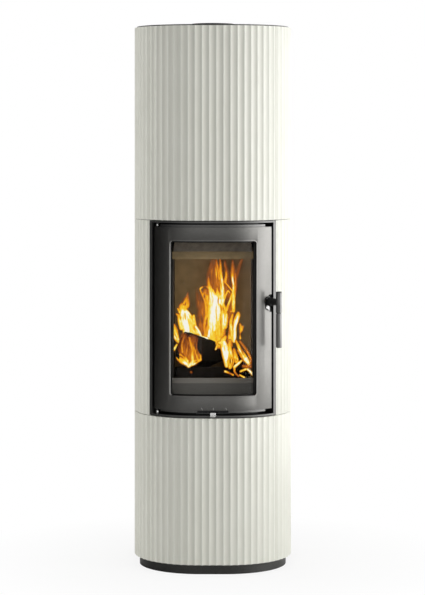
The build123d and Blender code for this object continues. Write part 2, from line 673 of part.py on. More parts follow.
def door_panel():
    """Curved front panel of the door with its window reveal."""
    panel = full_band(DOOR_RUN, DOOR_SET_IN, PANEL_BACK, DOOR_BOTTOM, DOOR_TOP)
    upright_edges = panel.edges().filter_by(Axis.Z).sort_by(Axis.X)
    left_pair = ShapeList(upright_edges[:2]).sort_by(Axis.Y)
    panel = fillet(left_pair[0], HINGE_EDGE_ROUND)
    reveal_run = WINDOW_HALF_RUN + REVEAL_WALL
    panel += window_cutter(reveal_run, DOOR_SET_IN + 1, REVEAL_BACK, WINDOW_BOTTOM - REVEAL_WALL,
                           WINDOW_TOP + REVEAL_WALL, WINDOW_CORNER)
    panel -= window_cutter(WINDOW_HALF_RUN, 0, REVEAL_BACK + 1, WINDOW_BOTTOM, WINDOW_TOP, WINDOW_CORNER)
    panel -= handle_notch()
    return panel - hinge_bores()


def door_inner_frame():
    """Deep frame behind the panel: carries glass, rope, hinge bores and spindle."""
    frame = full_band(DOOR_RUN, PANEL_BACK, INNER_FRAME_BACK, DOOR_BOTTOM, DOOR_TOP)
    frame += full_band(FLANGE_HALF_RUN, PANEL_BACK, INNER_FRAME_BACK, DOOR_BOTTOM - FLANGE_REACH,
                       DOOR_TOP + FLANGE_REACH)
    slot_half = AIR_TRAVEL + KNOB_HALF_WIDTH
    frame -= block(-slot_half, slot_half, 0, INNER_FRAME_BACK + 1, DOOR_BOTTOM - FLANGE_REACH - 1, DOOR_BOTTOM)
    opening_run = GLASS_RUN + GLASS_CLEARANCE
    frame -= full_band(opening_run, PANEL_BACK - 1, INNER_FRAME_BACK + 1, GLASS_BOTTOM - GLASS_CLEARANCE,
                       GLASS_TOP + GLASS_CLEARANCE)
    frame -= handle_notch()
    spindle = face_plane(HANDLE_RUN, 0.0, HANDLE_HEIGHT)
    frame -= rod_at(spindle, BUSH_RADIUS, -INNER_FRAME_BACK - 1, 0)
    return frame - hinge_bores()


def door_glass():
    """Curved ceramic pane."""
    return full_band(GLASS_RUN, GLASS_FRONT, GLASS_BACK, GLASS_BOTTOM, GLASS_TOP)


def glass_seal():
    """Flat tape between the reveal and the pane."""
    run = WINDOW_HALF_RUN + REVEAL_WALL
    tape = full_band(run, REVEAL_BACK, GLASS_FRONT, WINDOW_BOTTOM - REVEAL_WALL, WINDOW_TOP + REVEAL_WALL)
    return tape - full_band(WINDOW_HALF_RUN, REVEAL_BACK - 1, GLASS_FRONT + 1, WINDOW_BOTTOM, WINDOW_TOP)


def glass_clips():
    """Six bent clips that hold the pane from behind."""
    clip_height = 24.0
    clip_sheet = 2.0
    hold = 4.0
    foot = 7.0
    spacing = WINDOW_HEIGHT / 3
    middle = (WINDOW_BOTTOM + WINDOW_TOP) / 2
    clips = []
    for z in (middle - spacing, middle, middle + spacing):
        low, high = z - clip_height / 2, z + clip_height / 2
        edge = GLASS_RUN + GLASS_CLEARANCE
        clip = band(GLASS_RUN - hold, edge + foot, INNER_FRAME_BACK, INNER_FRAME_BACK + clip_sheet, low, high)
        clip += band(GLASS_RUN - hold, GLASS_RUN, GLASS_BACK, INNER_FRAME_BACK, low, high)
        clips += [clip.solid(), mirrored(clip).solid()]
    return Compound(children=clips)


def door_seal():
    """Rope round the back of the door."""
    outer = ROPE_HALF_RUN + ROPE_WIDTH / 2
    inner = ROPE_HALF_RUN - ROPE_WIDTH / 2
    back = LAND_SET_IN - ROPE_CLEARANCE
    low = LAND_BOTTOM + ROPE_WIDTH
    high = LAND_TOP - ROPE_WIDTH
    rope = full_band(outer, INNER_FRAME_BACK, back, low, high)
    return rope - full_band(inner, INNER_FRAME_BACK - 1, back + 1, low + ROPE_WIDTH, high - ROPE_WIDTH)


# ------------------------------------------------------------------ handle and latch
def handle_plane():
    """Plane on the handle's axis, its z pointing out of the door."""
    return face_plane(HANDLE_RUN, 0.0, HANDLE_HEIGHT)


def bar_piece(radius, low, high, bevel_low, bevel_high):
    """Upright round piece of the handle bar with bevelled ends."""
    plane = handle_plane() * Pos(0, low, BAR_STAND_OFF) * Rot(X=-90)
    piece = Cylinder(radius, high - low, align=(Align.CENTER, Align.CENTER, Align.MIN))
    rims = piece.edges().filter_by(GeomType.CIRCLE).sort_by(Axis.Z)
    piece = chamfer(rims[-1], bevel_high)
    rims = piece.edges().filter_by(GeomType.CIRCLE).sort_by(Axis.Z)
    piece = chamfer(rims[0], bevel_low)
    return plane * piece


def handle_lever():
    """Forged lever: eight-sided hub, waisted arm and the upper sleeve of the bar."""
    hub_low = -(DOOR_SET_IN + NOTCH_DEPTH) + HUB_CLEARANCE
    hub_high = 5.0
    plane = handle_plane()
    hub = RegularPolygon(HUB_HALF_WIDTH, 8, major_radius=False, rotation=22.5)
    lever = extrude(plane * Pos(0, 0, hub_low) * hub, amount=hub_high - hub_low)
    sections = []
    for out, across, high in ((hub_high - 1.0, 8.5, 10.5), (hub_high + 14.0, 5.5, 9.5), (BAR_STAND_OFF, 6.0, 14.0)):
        octagon = scale(RegularPolygon(1.0, 8, major_radius=False, rotation=22.5), by=(across, high, 1.0))
        sections.append(plane * Pos(0, 0, out) * octagon)
    lever += loft(sections[:2], ruled=True)
    lever += loft(sections[1:], ruled=True)
    lever += bar_piece(BAR_RADIUS, -SLEEVE_BELOW, BAR_ABOVE, 0.8, 1.5)
    bore = face_plane(HANDLE_RUN, 0.0, HANDLE_HEIGHT)
    return lever - rod_at(bore, SPINDLE_RADIUS, hub_low - 1, 0)


def handle_grip():
    """Lower, turned part of the bar with a bevelled end."""
    return bar_piece(GRIP_RADIUS, -BAR_BELOW, -SLEEVE_BELOW, 4.0, 0.8)


def handle_spindle():
    """Round spindle through the door, fixed in the hub and carrying the tongue."""
    return rod_at(handle_plane(), SPINDLE_RADIUS, tongue_low() - NUT_HEIGHT - 2.0, 0.0)


def tongue_low():
    """Distance of the tongue's rear face from the face line."""
    return -(INNER_FRAME_BACK + TONGUE_GAP + TONGUE_THICKNESS)


def latch_tongue():
    """Flat tongue on the spindle: points to the keeper when the handle hangs down."""
    outline = RegularPolygon(TONGUE_ROOT_RADIUS, 8, rotation=22.5)
    straight = TONGUE_REACH - TONGUE_HEIGHT / 2
    outline += Pos(straight / 2, 0) * Rectangle(straight, TONGUE_HEIGHT)
    outline += Pos(straight, 0) * RegularPolygon(TONGUE_HEIGHT / 2, 8, major_radius=False, rotation=22.5)
    outline -= Circle(SPINDLE_RADIUS)
    return extrude(handle_plane() * Pos(0, 0, tongue_low()) * outline, amount=TONGUE_THICKNESS)


def latch_nut():
    """Nut that holds the tongue on the spindle."""
    outline = RegularPolygon(NUT_HALF_WIDTH, 6, major_radius=False) - Circle(SPINDLE_RADIUS)
    return extrude(handle_plane() * Pos(0, 0, tongue_low() - NUT_HEIGHT) * outline, amount=NUT_HEIGHT)


def spindle_bush():
    """Plain bush in the door's inner frame."""
    low = -INNER_FRAME_BACK
    high = -(DOOR_SET_IN + NOTCH_DEPTH)
    bush = rod_at(handle_plane(), BUSH_RADIUS, low, high)
    return bush - rod_at(handle_plane(), SPINDLE_RADIUS + RUNNING_CLEARANCE, low - 1, high + 1)


def latch_keeper():
    """Keeper on the channel floor: a ledge under the tongue, open to the front."""
    ledge_gap = 0.3
    ledge = 6.0
    foot = 3.0
    foot_below = 30.0
    foot_above = 18.0
    top = HANDLE_HEIGHT - TONGUE_HEIGHT / 2 - ledge_gap
    floor_front = SURROUND_DEPTH - CHANNEL_FLOOR
    start = HANDLE_RUN + TONGUE_ROOT_RADIUS + 2.5
    keeper = band(start, INNER_RUN, INNER_FRAME_BACK + TONGUE_GAP, floor_front, top - ledge, top)
    return keeper + band(start, INNER_RUN, floor_front - foot, floor_front, top - foot_below, top + foot_above)


# ------------------------------------------------------------------ firebox
def port_cutters(z0, z1, shift=0.0):
    """Two air ports side by side, one knob travel apart."""
    front = VALVE_FRONT + (VALVE_DEPTH - PORT_DEPTH) / 2
    ports = []
    for x in (shift - AIR_TRAVEL / 2, shift + AIR_TRAVEL / 2):
        ports.append(block(x - PORT_WIDTH / 2, x + PORT_WIDTH / 2, front, front + PORT_DEPTH, z0, z1))
    return ports


def firebox_shell():
    """Welded firebox: curved front plate with the mouth, floor with air ports, flue hole, baffle ledges."""
    shell = chamber_plan(SURROUND_DEPTH, FIREBOX_HALF, FIREBOX_BACK, FIREBOX_BOTTOM, FIREBOX_TOP)
    shell -= chamber_plan(CHAMBER_FRONT, CHAMBER_HALF, CHAMBER_BACK, FIREBOX_FLOOR, FIREBOX_TOP - FIREBOX_SHEET)
    shell -= full_band(MOUTH_HALF_RUN, SURROUND_DEPTH - 1, CHAMBER_FRONT + 2, MOUTH_BOTTOM, MOUTH_TOP)
    shell -= upright(FLUE_RADIUS, 0, FLUE_SET_IN, FIREBOX_TOP - FIREBOX_SHEET - 1, FIREBOX_TOP + 1)
    for port in port_cutters(FIREBOX_BOTTOM - 1, FIREBOX_FLOOR + 1):
        shell -= port
    ledge_width = 12.0
    ledge_sheet = 4.0
    z = UPPER_BAFFLE_Z
    for side in (-1, 1):
        x0, x1 = sorted((side * (CHAMBER_HALF - ledge_width), side * CHAMBER_HALF))
        shell += block(x0, x1, BAFFLE_FRONT, CHAMBER_BACK, z - ledge_sheet, z)
    return shell


def lining_back():
    """Rear firebrick slab."""
    half = CHAMBER_HALF - 2 * LINING_CLEARANCE - LINING
    back = CHAMBER_BACK - LINING_CLEARANCE
    return block(-half, half, back - LINING, back, FIREBOX_FLOOR, BAFFLE_Z)


def lining_side():
    """Right firebrick slab."""
    outer = CHAMBER_HALF - LINING_CLEARANCE
    return block(outer - LINING, outer, LINING_FRONT, CHAMBER_BACK - LINING_CLEARANCE, FIREBOX_FLOOR, BAFFLE_Z)


def lining_base():
    """Base brick with a well for the ash pan and a rebate for the grate."""
    front = RETAINER_FRONT + RETAINER_SHEET + RETAINER_GAP
    base = block(-BASE_HALF_WIDTH, BASE_HALF_WIDTH, front, BASE_BACK, FIREBOX_FLOOR, BRICK_TOP)
    base -= block(-WELL_HALF_WIDTH, WELL_HALF_WIDTH, WELL_FRONT, WELL_FRONT + WELL_DEPTH,
                  FIREBOX_FLOOR - 1, BRICK_TOP + 1)
    rebate = GRATE_REBATE
    return base - block(-WELL_HALF_WIDTH - rebate, WELL_HALF_WIDTH + rebate, WELL_FRONT - rebate,
                        WELL_FRONT + WELL_DEPTH + rebate, BRICK_TOP - GRATE_THICKNESS, BRICK_TOP + 1)


def grate():
    """Cast grate with slots."""
    margin = GRATE_REBATE - 1.0
    x1 = WELL_HALF_WIDTH + margin
    plate = block(-x1, x1, WELL_FRONT - margin, WELL_FRONT + WELL_DEPTH + margin,
                  BRICK_TOP - GRATE_THICKNESS, BRICK_TOP)
    pitch = 2 * WELL_HALF_WIDTH / (GRATE_SLOTS + 1)
    bar = 8.0
    middle = WELL_FRONT + WELL_DEPTH / 2
    for n in range(GRATE_SLOTS):
        x = (n - (GRATE_SLOTS - 1) / 2) * pitch
        for d0, d1 in ((WELL_FRONT + bar, middle - bar / 2), (middle + bar / 2, WELL_FRONT + WELL_DEPTH - bar)):
            plate -= block(x - bar / 2, x + bar / 2, d0, d1, BRICK_TOP - GRATE_THICKNESS - 1, BRICK_TOP + 1)
    return plate


def ash_pan():
    """Open tray in the well under the grate."""
    gap = 4.0
    x1 = WELL_HALF_WIDTH - gap
    d0, d1 = WELL_FRONT + gap, WELL_FRONT + WELL_DEPTH - gap
    sheet = ASH_PAN_SHEET
    pan = block(-x1, x1, d0, d1, FIREBOX_FLOOR, FIREBOX_FLOOR + ASH_PAN_HEIGHT)
    return pan - block(-x1 + sheet, x1 - sheet, d0 + sheet, d1 - sheet, FIREBOX_FLOOR + sheet,
                       FIREBOX_FLOOR + ASH_PAN_HEIGHT + 1)


def baffle_lower():
    """Loose slab on the linings: the smoke passes in front of it."""
    half = CHAMBER_HALF - LINING_CLEARANCE
    return block(-half, half, BAFFLE_FRONT, CHAMBER_BACK - LINING_CLEARANCE, BAFFLE_Z,
                 BAFFLE_Z + BAFFLE_THICKNESS)


def baffle_upper():
    """Loose slab on the ledges: the smoke passes behind it."""
    return chamber_plan(CHAMBER_FRONT + LINING_CLEARANCE, CHAMBER_HALF - LINING_CLEARANCE, UPPER_BAFFLE_BACK,
                        UPPER_BAFFLE_Z, UPPER_BAFFLE_Z + UPPER_BAFFLE_THICKNESS)


def smoke_deflector():
    """Bent sheet on the lower baffle: a foot, and a front that leans back and tapers."""
    z = BAFFLE_Z + BAFFLE_THICKNESS
    d0 = BAFFLE_FRONT + 1.0
    t = DEFLECTOR_SHEET
    half = CHAMBER_HALF - LINING
    foot = block(-half + DEFLECTOR_TAPER, half - DEFLECTOR_TAPER, d0 + t, d0 + DEFLECTOR_LEAN, z, z + t)
    low = Polyline((-half, 0), (half, 0), (half, t), (-half, t), close=True)
    high = Polyline((-half + DEFLECTOR_TAPER, DEFLECTOR_LEAN), (half - DEFLECTOR_TAPER, DEFLECTOR_LEAN),
                    (half - DEFLECTOR_TAPER, DEFLECTOR_LEAN + t), (-half + DEFLECTOR_TAPER, DEFLECTOR_LEAN + t),
                    close=True)
    front = loft([Pos(0, FRONT_Y + d0, z) * make_face(low),
                  Pos(0, FRONT_Y + d0, z + DEFLECTOR_HEIGHT) * make_face(high)])
    return front + foot


def log_retainer():
    """Bent sheet that keeps the logs off the glass, its top edge leaning inwards."""
    d0 = RETAINER_FRONT
    d1 = RETAINER_FRONT + RETAINER_SHEET
    lean = RETAINER_LIP - 2.0
    z1 = FIREBOX_FLOOR + RETAINER_HEIGHT
    z2 = z1 - RETAINER_LIP
    points = [(d0, FIREBOX_FLOOR), (d1, FIREBOX_FLOOR), (d1, z2), (d1 + lean, z1), (d0 + lean, z1), (d0, z2)]
    profile = Polyline(*[(0, FRONT_Y + d, z) for d, z in points], close=True)
    sheet = extrude(make_face(profile), amount=RETAINER_HALF_WIDTH, both=True)
    return sheet


# ------------------------------------------------------------------ flue and heat store
def flue_pipe():
    """Riser from the firebox top with a branch that ends in the rear flue stub."""
    low = FIREBOX_TOP - FIREBOX_SHEET
    high = UPPER_TILE_TOP - FLUE_TOP_GAP
    inner = FLUE_RADIUS - FLUE_SHEET
    end = BODY_DEPTH + STUB_OUT
    pipe = upright(FLUE_RADIUS, 0, FLUE_SET_IN, low, high)
    pipe += rearward(FLUE_RADIUS + PIPE_STEP, FLUE_BRANCH_HEIGHT, FLUE_SET_IN, COVER_BACK + FLANGE_SHEET)
    pipe += rearward(FLUE_RADIUS, FLUE_BRANCH_HEIGHT, COVER_BACK, end)
    pipe -= upright(inner, 0, FLUE_SET_IN, low - 1, high + 1)
    return pipe - rearward(inner, FLUE_BRANCH_HEIGHT, FLUE_SET_IN, end + 1)


def flue_plug():
    """Plug in the riser's upper end."""
    high = UPPER_TILE_TOP - FLUE_TOP_GAP
    return upright(FLUE_RADIUS - FLUE_SHEET, 0, FLUE_SET_IN, high - PLUG_HEIGHT, high)


def heat_store():
    """Right-hand stack of storage bricks with a bay for the riser."""
    bay = FLUE_RADIUS + 0.5
    layer = STORE_ROOM / STORE_LAYERS
    bricks = []
    for n in range(STORE_LAYERS):
        z0 = FIREBOX_TOP + n * layer
        z1 = z0 + layer - LAYER_GAP
        brick = block(LAYER_GAP, FIREBOX_HALF - STORE_FROM_SIDE, STORE_FRONT, FIREBOX_BACK - STORE_FROM_BACK,
                      z0, z1)
        brick -= block(-1, bay, FLUE_SET_IN - bay, FLUE_SET_IN + bay, z0 - 1, z1 + 1)
        bricks.append(brick.solid())
    return bricks


# ------------------------------------------------------------------ combustion air
def air_box():
    """Sheet box under the firebox that feeds the air valve."""
    half = AIR_BOX_HALF_WIDTH
    low = STAND_RAIL - AIR_BOX_HEIGHT
    t = AIR_SHEET
    box = block(-half, half, AIR_BOX_FRONT, AIR_BOX_BACK, low, STAND_RAIL)
    box += block(-half, half, AIR_BOX_FRONT, AIR_BOX_STEP, STAND_RAIL, AIR_BOX_TOP)
    box -= block(-half + t, half - t, AIR_BOX_FRONT + t, AIR_BOX_BACK - t, low + t, STAND_RAIL - t)
    box -= block(-half + t, half - t, AIR_BOX_FRONT + t, AIR_BOX_STEP - t, STAND_RAIL - t - 1, AIR_BOX_TOP - t)
    box -= rearward(AIR_RADIUS - t, low + AIR_BOX_HEIGHT / 2, AIR_BOX_BACK - t - 1, AIR_BOX_BACK + 1)
    for port in port_cutters(AIR_BOX_TOP - t - 1, AIR_BOX_TOP + 1):
        box -= port
    return box


def air_guides():
    """Guide strips at the front and back edges of the sliding valve."""
    gap = 0.3
    width = 5.0
    low, high = AIR_BOX_TOP, FIREBOX_BOTTOM
    slot_half = AIR_TRAVEL + STEM_HALF_WIDTH + 4.0
    end = AIR_BOX_HALF_WIDTH
    back = VALVE_FRONT + VALVE_DEPTH + gap
    strips = [block(-end, end, back, back + width, low, high)]
    front = VALVE_FRONT - gap
    for x0, x1 in ((-end, -slot_half), (slot_half, end)):
        strips.append(block(x0, x1, front - width, front, low, high))
    return Compound(children=[s.solid() for s in strips])


def air_valve():
    """Sliding plate and stem: ports open at the right, half open in the middle, shut at the left."""
    outer_port = AIR_TRAVEL / 2 + PORT_WIDTH / 2
    left = -(AIR_TRAVEL + outer_port + VALVE_MARGIN)
    right = outer_port + AIR_TRAVEL + VALVE_MARGIN / 2
    plate = block(left, right, VALVE_FRONT, VALVE_FRONT + VALVE_DEPTH, VALVE_BOTTOM, VALVE_TOP)
    for port in port_cutters(VALVE_BOTTOM - 1, VALVE_TOP + 1, -AIR_TRAVEL):
        plate -= port
    return plate + block(-STEM_HALF_WIDTH, STEM_HALF_WIDTH, 0.5, VALVE_FRONT, VALVE_BOTTOM, VALVE_TOP)


def air_knob():
    """Bright knob at the end of the stem, in front of the surround's lower lip."""
    middle = (VALVE_BOTTOM + VALVE_TOP) / 2
    knob = block(-KNOB_HALF_WIDTH, KNOB_HALF_WIDTH, -KNOB_PROUD, 0.5, middle - KNOB_HEIGHT / 2,
                 middle + KNOB_HEIGHT / 2)
    return fillet(knob.edges().filter_by(Axis.Y), 2.0)


def air_pipe():
    """Air pipe from the box to the rear, where its end is the air stub."""
    z = STAND_RAIL - AIR_BOX_HEIGHT / 2
    end = BODY_DEPTH + AIR_STUB_OUT
    pipe = rearward(AIR_RADIUS + PIPE_STEP, z, AIR_BOX_BACK, COVER_BACK + FLANGE_SHEET)
    pipe += rearward(AIR_RADIUS, z, COVER_BACK, end)
    return pipe - rearward(AIR_RADIUS - AIR_SHEET, z, AIR_BOX_BACK - 1, end + 1)


# ------------------------------------------------------------------ write the pieces
def pieces():
    """Every node's name and solid."""
    lower_side = side_tile(TILE_BOTTOM, LOWER_TILE_TOP)
    middle_side = side_tile(MIDDLE_TILE_BOTTOM, MIDDLE_TILE_TOP)
    upper_side = side_tile(UPPER_TILE_BOTTOM, UPPER_TILE_TOP)
    side_brick = lining_side()
    store = heat_store()
    air_z = STAND_RAIL - AIR_BOX_HEIGHT / 2
    split = UPPER_TILE_BOTTOM
    return {
        "plinth": plinth(),
        "levelling_feet": levelling_feet(),
        "base_plate": base_plate(),
        "firebox_stand": firebox_stand(),
        "carrier_posts": carrier_posts(),
        "carrier_rings": carrier_rings(),
        "lintel_shelf": lintel_shelf(),
        "lower_tile_front": front_tile(TILE_BOTTOM, LOWER_TILE_TOP),
        "lower_tile_right": lower_side,
        "lower_tile_left": mirrored(lower_side),
        "middle_tile_right": middle_side,
        "middle_tile_left": mirrored(middle_side),
        "upper_tile_front": front_tile(UPPER_TILE_BOTTOM, UPPER_TILE_TOP),
        "upper_tile_right": upper_side,
        "upper_tile_left": mirrored(upper_side),
        "joint_tapes": joint_tapes(),
        "door_surround": door_surround(),
        "hinge_pins": hinge_pins(),
        "latch_keeper": latch_keeper(),
        "firebox_shell": firebox_shell(),
        "lining_back": lining_back(),
        "lining_right": side_brick,
        "lining_left": mirrored(side_brick),
        "lining_base": lining_base(),
        "baffle_lower": baffle_lower(),
        "baffle_upper": baffle_upper(),
        "smoke_deflector": smoke_deflector(),
        "grate": grate(),
        "ash_pan": ash_pan(),
        "log_retainer": log_retainer(),
        "flue_pipe": flue_pipe(),
        "flue_plug": flue_plug(),
        "heat_store_right": Compound(children=store),
        "heat_store_left": Compound(children=[mirrored(b).solid() for b in store]),
        "flue_collar": flange_plate(FLUE_RADIUS, FLUE_BRANCH_HEIGHT),
        "air_box": air_box(),
        "air_guides": air_guides(),
        "air_pipe": air_pipe(),
        "air_collar": flange_plate(AIR_RADIUS, air_z),
        "rear_cover_lower": rear_cover(TILE_BOTTOM, split - COVER_SPLIT_GAP, AIR_RADIUS, air_z,
                                       TILE_BOTTOM + LOWER_LOUVRE_RISE),
        "rear_cover_upper": rear_cover(split, UPPER_TILE_TOP, FLUE_RADIUS, FLUE_BRANCH_HEIGHT,
                                       split + UPPER_LOUVRE_RISE),
        "rear_cover_screws": rear_cover_screws(),
        "top_plate": top_plate(),
        "top_lid": top_lid(),
        "door_panel": door_panel(),
        "door_inner_frame": door_inner_frame(),
        "door_glass": door_glass(),
        "glass_seal": glass_seal(),
        "glass_clips": glass_clips(),
        "door_seal": door_seal(),
        "spindle_bush": spindle_bush(),
        "handle_lever": handle_lever(),
        "handle_grip": handle_grip(),
        "handle_spindle": handle_spindle(),
        "latch_tongue": latch_tongue(),
        "latch_nut": latch_nut(),
        "air_valve": air_valve(),
        "air_knob": air_knob(),
    }


def report_places():
    """Print the places that the record needs."""
    pin = on_plan(PIN_RUN, PIN_SET_IN, (DOOR_BOTTOM + DOOR_TOP) / 2)
    plane = handle_plane()
    angle = degrees((HANDLE_RUN - HALF_FLAT) / CORNER_RADIUS)
    print("front face y", round(FRONT_Y, 3), "cover back y", round(FRONT_Y + COVER_BACK, 3))
    print("hinge axis", tuple(round(v, 3) for v in (pin.X, pin.Y, pin.Z)))
    print("handle axis through", tuple(round(v, 3) for v in plane.origin), "turned", round(angle, 3))
    print("handle direction", tuple(round(v, 5) for v in plane.z_dir))
    print("door", DOOR_BOTTOM, DOOR_TOP, "window", WINDOW_BOTTOM, WINDOW_TOP, "firebox floor", FIREBOX_FLOOR)
    print("air stub height", STAND_RAIL - AIR_BOX_HEIGHT / 2, "brick top", BRICK_TOP, "top", TOP_Z)


def main():
    """Build and write every piece."""
    os.makedirs("parts", exist_ok=True)
    for name, shape in pieces().items():
        export_step(shape, f"parts/{name}.step")
    report_places()


main()
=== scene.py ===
# %% [markdown]
# A tiled wood stove, dressed for its portrait.
# The CAD model gives every piece its size and place. This lesson replaces the pieces that are
# seen with finer ones, gives all the others a finish, lights a fire and sets up a small studio.

# %% Load the frame
import math
import random

import bmesh
import bpy
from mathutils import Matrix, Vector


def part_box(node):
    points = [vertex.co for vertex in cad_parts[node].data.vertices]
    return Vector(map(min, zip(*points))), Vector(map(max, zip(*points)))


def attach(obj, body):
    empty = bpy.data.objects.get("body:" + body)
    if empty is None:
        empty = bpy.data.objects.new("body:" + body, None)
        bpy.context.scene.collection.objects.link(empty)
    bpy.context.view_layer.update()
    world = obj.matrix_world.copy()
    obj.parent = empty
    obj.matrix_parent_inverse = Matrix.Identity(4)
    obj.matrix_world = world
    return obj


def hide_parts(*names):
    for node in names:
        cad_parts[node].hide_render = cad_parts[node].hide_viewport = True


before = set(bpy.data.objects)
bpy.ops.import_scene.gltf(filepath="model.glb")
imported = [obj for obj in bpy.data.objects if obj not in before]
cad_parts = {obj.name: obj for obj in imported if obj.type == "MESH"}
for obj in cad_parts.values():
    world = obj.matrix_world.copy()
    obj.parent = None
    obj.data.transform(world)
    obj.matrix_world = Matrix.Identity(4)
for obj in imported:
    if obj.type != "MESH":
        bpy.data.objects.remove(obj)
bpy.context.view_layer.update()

# %% [markdown]
# The camera stands at eye level, level and far away, as product photographers like it, so the
# upright edges of the stove stay upright. A lens shift, and not a tilt, brings the foot of the
# stove into the picture.

# %% Camera
scene = bpy.context.scene
scene.view_settings.view_transform = "Standard"
CAMERA_PLACE = (0.0, -6.971, 1.379)
bpy.ops.object.camera_add(location=CAMERA_PLACE, rotation=(math.pi / 2, 0.0, 0.0))
camera = bpy.context.object
camera.name = "portrait_camera"
camera.data.sensor_fit = "HORIZONTAL"
camera.data.sensor_width = 36.0
camera.data.lens = 183.9
camera.data.shift_x = -0.0007
camera.data.shift_y = -0.393
scene.camera = camera

# %% [markdown]
# The stove's plan is a flat stretch, a quarter circle at each front corner and straight sides.
# Each curved piece is modelled flat first, as if the face were unrolled on a bench: x is the run
# along the face, y is how far it is set in, z is the height. Then every vertex moves on to the
# plan. That keeps the modelling as easy as on a board, and all the curves fit each other.

# %% The plan and the tools for flat pieces
FRONT_Y = -0.241
HALF_FLAT = 0.040
CORNER_RADIUS = 0.210
BODY_DEPTH = 0.440
SIDE_X = HALF_FLAT + CORNER_RADIUS
CORNER_Y = FRONT_Y + CORNER_RADIUS
CORNER_END = HALF_FLAT + CORNER_RADIUS * math.pi / 2
UPRIGHT = (math.pi / 2, 0.0, 0.0)


def on_plan(run, set_in):
    """Place in plan of a run along the face and a set-in square to it."""
    side = 1 if run >= 0 else -1
    run = abs(run)
    if run <= HALF_FLAT:
        return side * run, FRONT_Y + set_in
    if run <= CORNER_END:
        turn = (run - HALF_FLAT) / CORNER_RADIUS
        reach = CORNER_RADIUS - set_in
        return side * (HALF_FLAT + reach * math.sin(turn)), CORNER_Y - reach * math.cos(turn)
    return side * (SIDE_X - set_in), CORNER_Y + run - CORNER_END


def wrap(piece):
    """Moves a piece that was modelled flat on to the plan."""
    for vertex in piece.data.vertices:
        vertex.co.x, vertex.co.y = on_plan(vertex.co.x, vertex.co.y)
    piece.data.update()


def only(piece):
    """Selects one piece and makes it active."""
    bpy.ops.object.select_all(action="DESELECT")
    piece.select_set(True)
    bpy.context.view_layer.objects.active = piece


def settle(piece):
    """Puts a piece's place, turn and scale into its mesh."""
    only(piece)
    bpy.ops.object.transform_apply(location=True, rotation=True, scale=True)
    return piece


def add(primitive, name, scale=(1.0, 1.0, 1.0), **options):
    """Adds a primitive with nothing else selected, and settles it."""
    bpy.ops.object.select_all(action="DESELECT")
    primitive(**options)
    piece = bpy.context.object
    piece.name = piece.data.name = name
    piece.scale = scale
    return settle(piece)


def join(pieces, name):
    """Makes one piece of several."""
    only(pieces[0])
    for piece in pieces:
        piece.select_set(True)
    bpy.ops.object.join()
    piece = bpy.context.object
    piece.name = name
    return piece


# %% Edit mode
def edit(piece, mode="EDGE"):
    """Goes into edit mode on a piece with nothing selected."""
    only(piece)
    bpy.ops.object.mode_set(mode="EDIT")
    bpy.ops.mesh.select_mode(type=mode)
    bpy.ops.mesh.select_all(action="DESELECT")


def done():
    """Back to object mode."""
    bpy.ops.object.mode_set(mode="OBJECT")


def pick(piece, test, kind="edges"):
    """Selects the edges or faces that pass a test; returns how many did."""
    mesh = bmesh.from_edit_mesh(piece.data)
    found = 0
    for part in getattr(mesh, kind):
        if test(part):
            part.select_set(True)
            found += 1
    bmesh.update_edit_mesh(piece.data)
    return found


def everything():
    """Selects the whole mesh."""
    bpy.ops.mesh.select_all(action="SELECT")


def push(move):
    """Extrudes what is selected."""
    bpy.ops.mesh.extrude_region_move(TRANSFORM_OT_translate={"value": move})


def face_outwards():
    """Turns all faces of the mesh outwards."""
    everything()
    bpy.ops.mesh.normals_make_consistent(inside=False)


def thicken(piece, move):
    """Makes a solid of a flat piece."""
    edit(piece, "FACE")
    everything()
    push(move)
    face_outwards()
    done()
    return piece


# %% Which edges to round
def near(a, b, slack=1e-5):
    """True if two lengths are the same."""
    return abs(a - b) < slack


def at(axis, place):
    """Test for an edge that has both ends at a place on an axis."""
    number = "xyz".index(axis)
    return lambda edge: all(near(vertex.co[number], place) for vertex in edge.verts)


def runs_along(axis):
    """Test for an edge that runs along an axis."""
    others = [number for number in range(3) if "xyz"[number] != axis]
    return lambda edge: all(near(edge.verts[0].co[n], edge.verts[1].co[n]) for n in others)


def all_of(*tests):
    """Test for an edge that passes every one of some tests."""
    return lambda edge: all(test(edge) for test in tests)


def one_of(*tests):
    """Test for an edge that passes at least one of some tests."""
    return lambda edge: any(test(edge) for test in tests)


def sharper_than(degrees):
    """Test for an edge between two faces that meet at an angle."""
    return lambda edge: len(edge.link_faces) == 2 and edge.calc_face_angle(0.0) > math.radians(degrees)


def bevel(piece, test, width, segments=2):
    """Rounds the edges that pass a test; returns how many did."""
    edit(piece)
    found = pick(piece, test)
    if found:
        bpy.ops.mesh.bevel(offset=width, offset_type="OFFSET", segments=segments, profile=0.5,
                           affect="EDGES", clamp_overlap=True)
    done()
    return found


def soften(piece, degrees=30.0):
    """Smooth shading with the sharp edges kept."""
    only(piece)
    bpy.ops.object.shade_smooth_by_angle(angle=math.radians(degrees))


# %% Slabs, blocks and cutters
def slab(name, run, depth, height, column=0.004):
    """Flat upright slab, divided into columns so that it can follow the curve."""
    face = add(bpy.ops.mesh.primitive_grid_add, name, (run[1] - run[0], height[1] - height[0], 1.0),
               x_subdivisions=max(1, round((run[1] - run[0]) / column)), y_subdivisions=1, size=1.0,
               location=(sum(run) / 2, depth[0], sum(height) / 2), rotation=UPRIGHT)
    return thicken(face, (0.0, depth[1] - depth[0], 0.0))


def block(name, low, high):
    """Box between two corners."""
    return add(bpy.ops.mesh.primitive_cube_add, name, [b - a for a, b in zip(low, high)], size=1.0,
               location=[(a + b) / 2 for a, b in zip(low, high)])


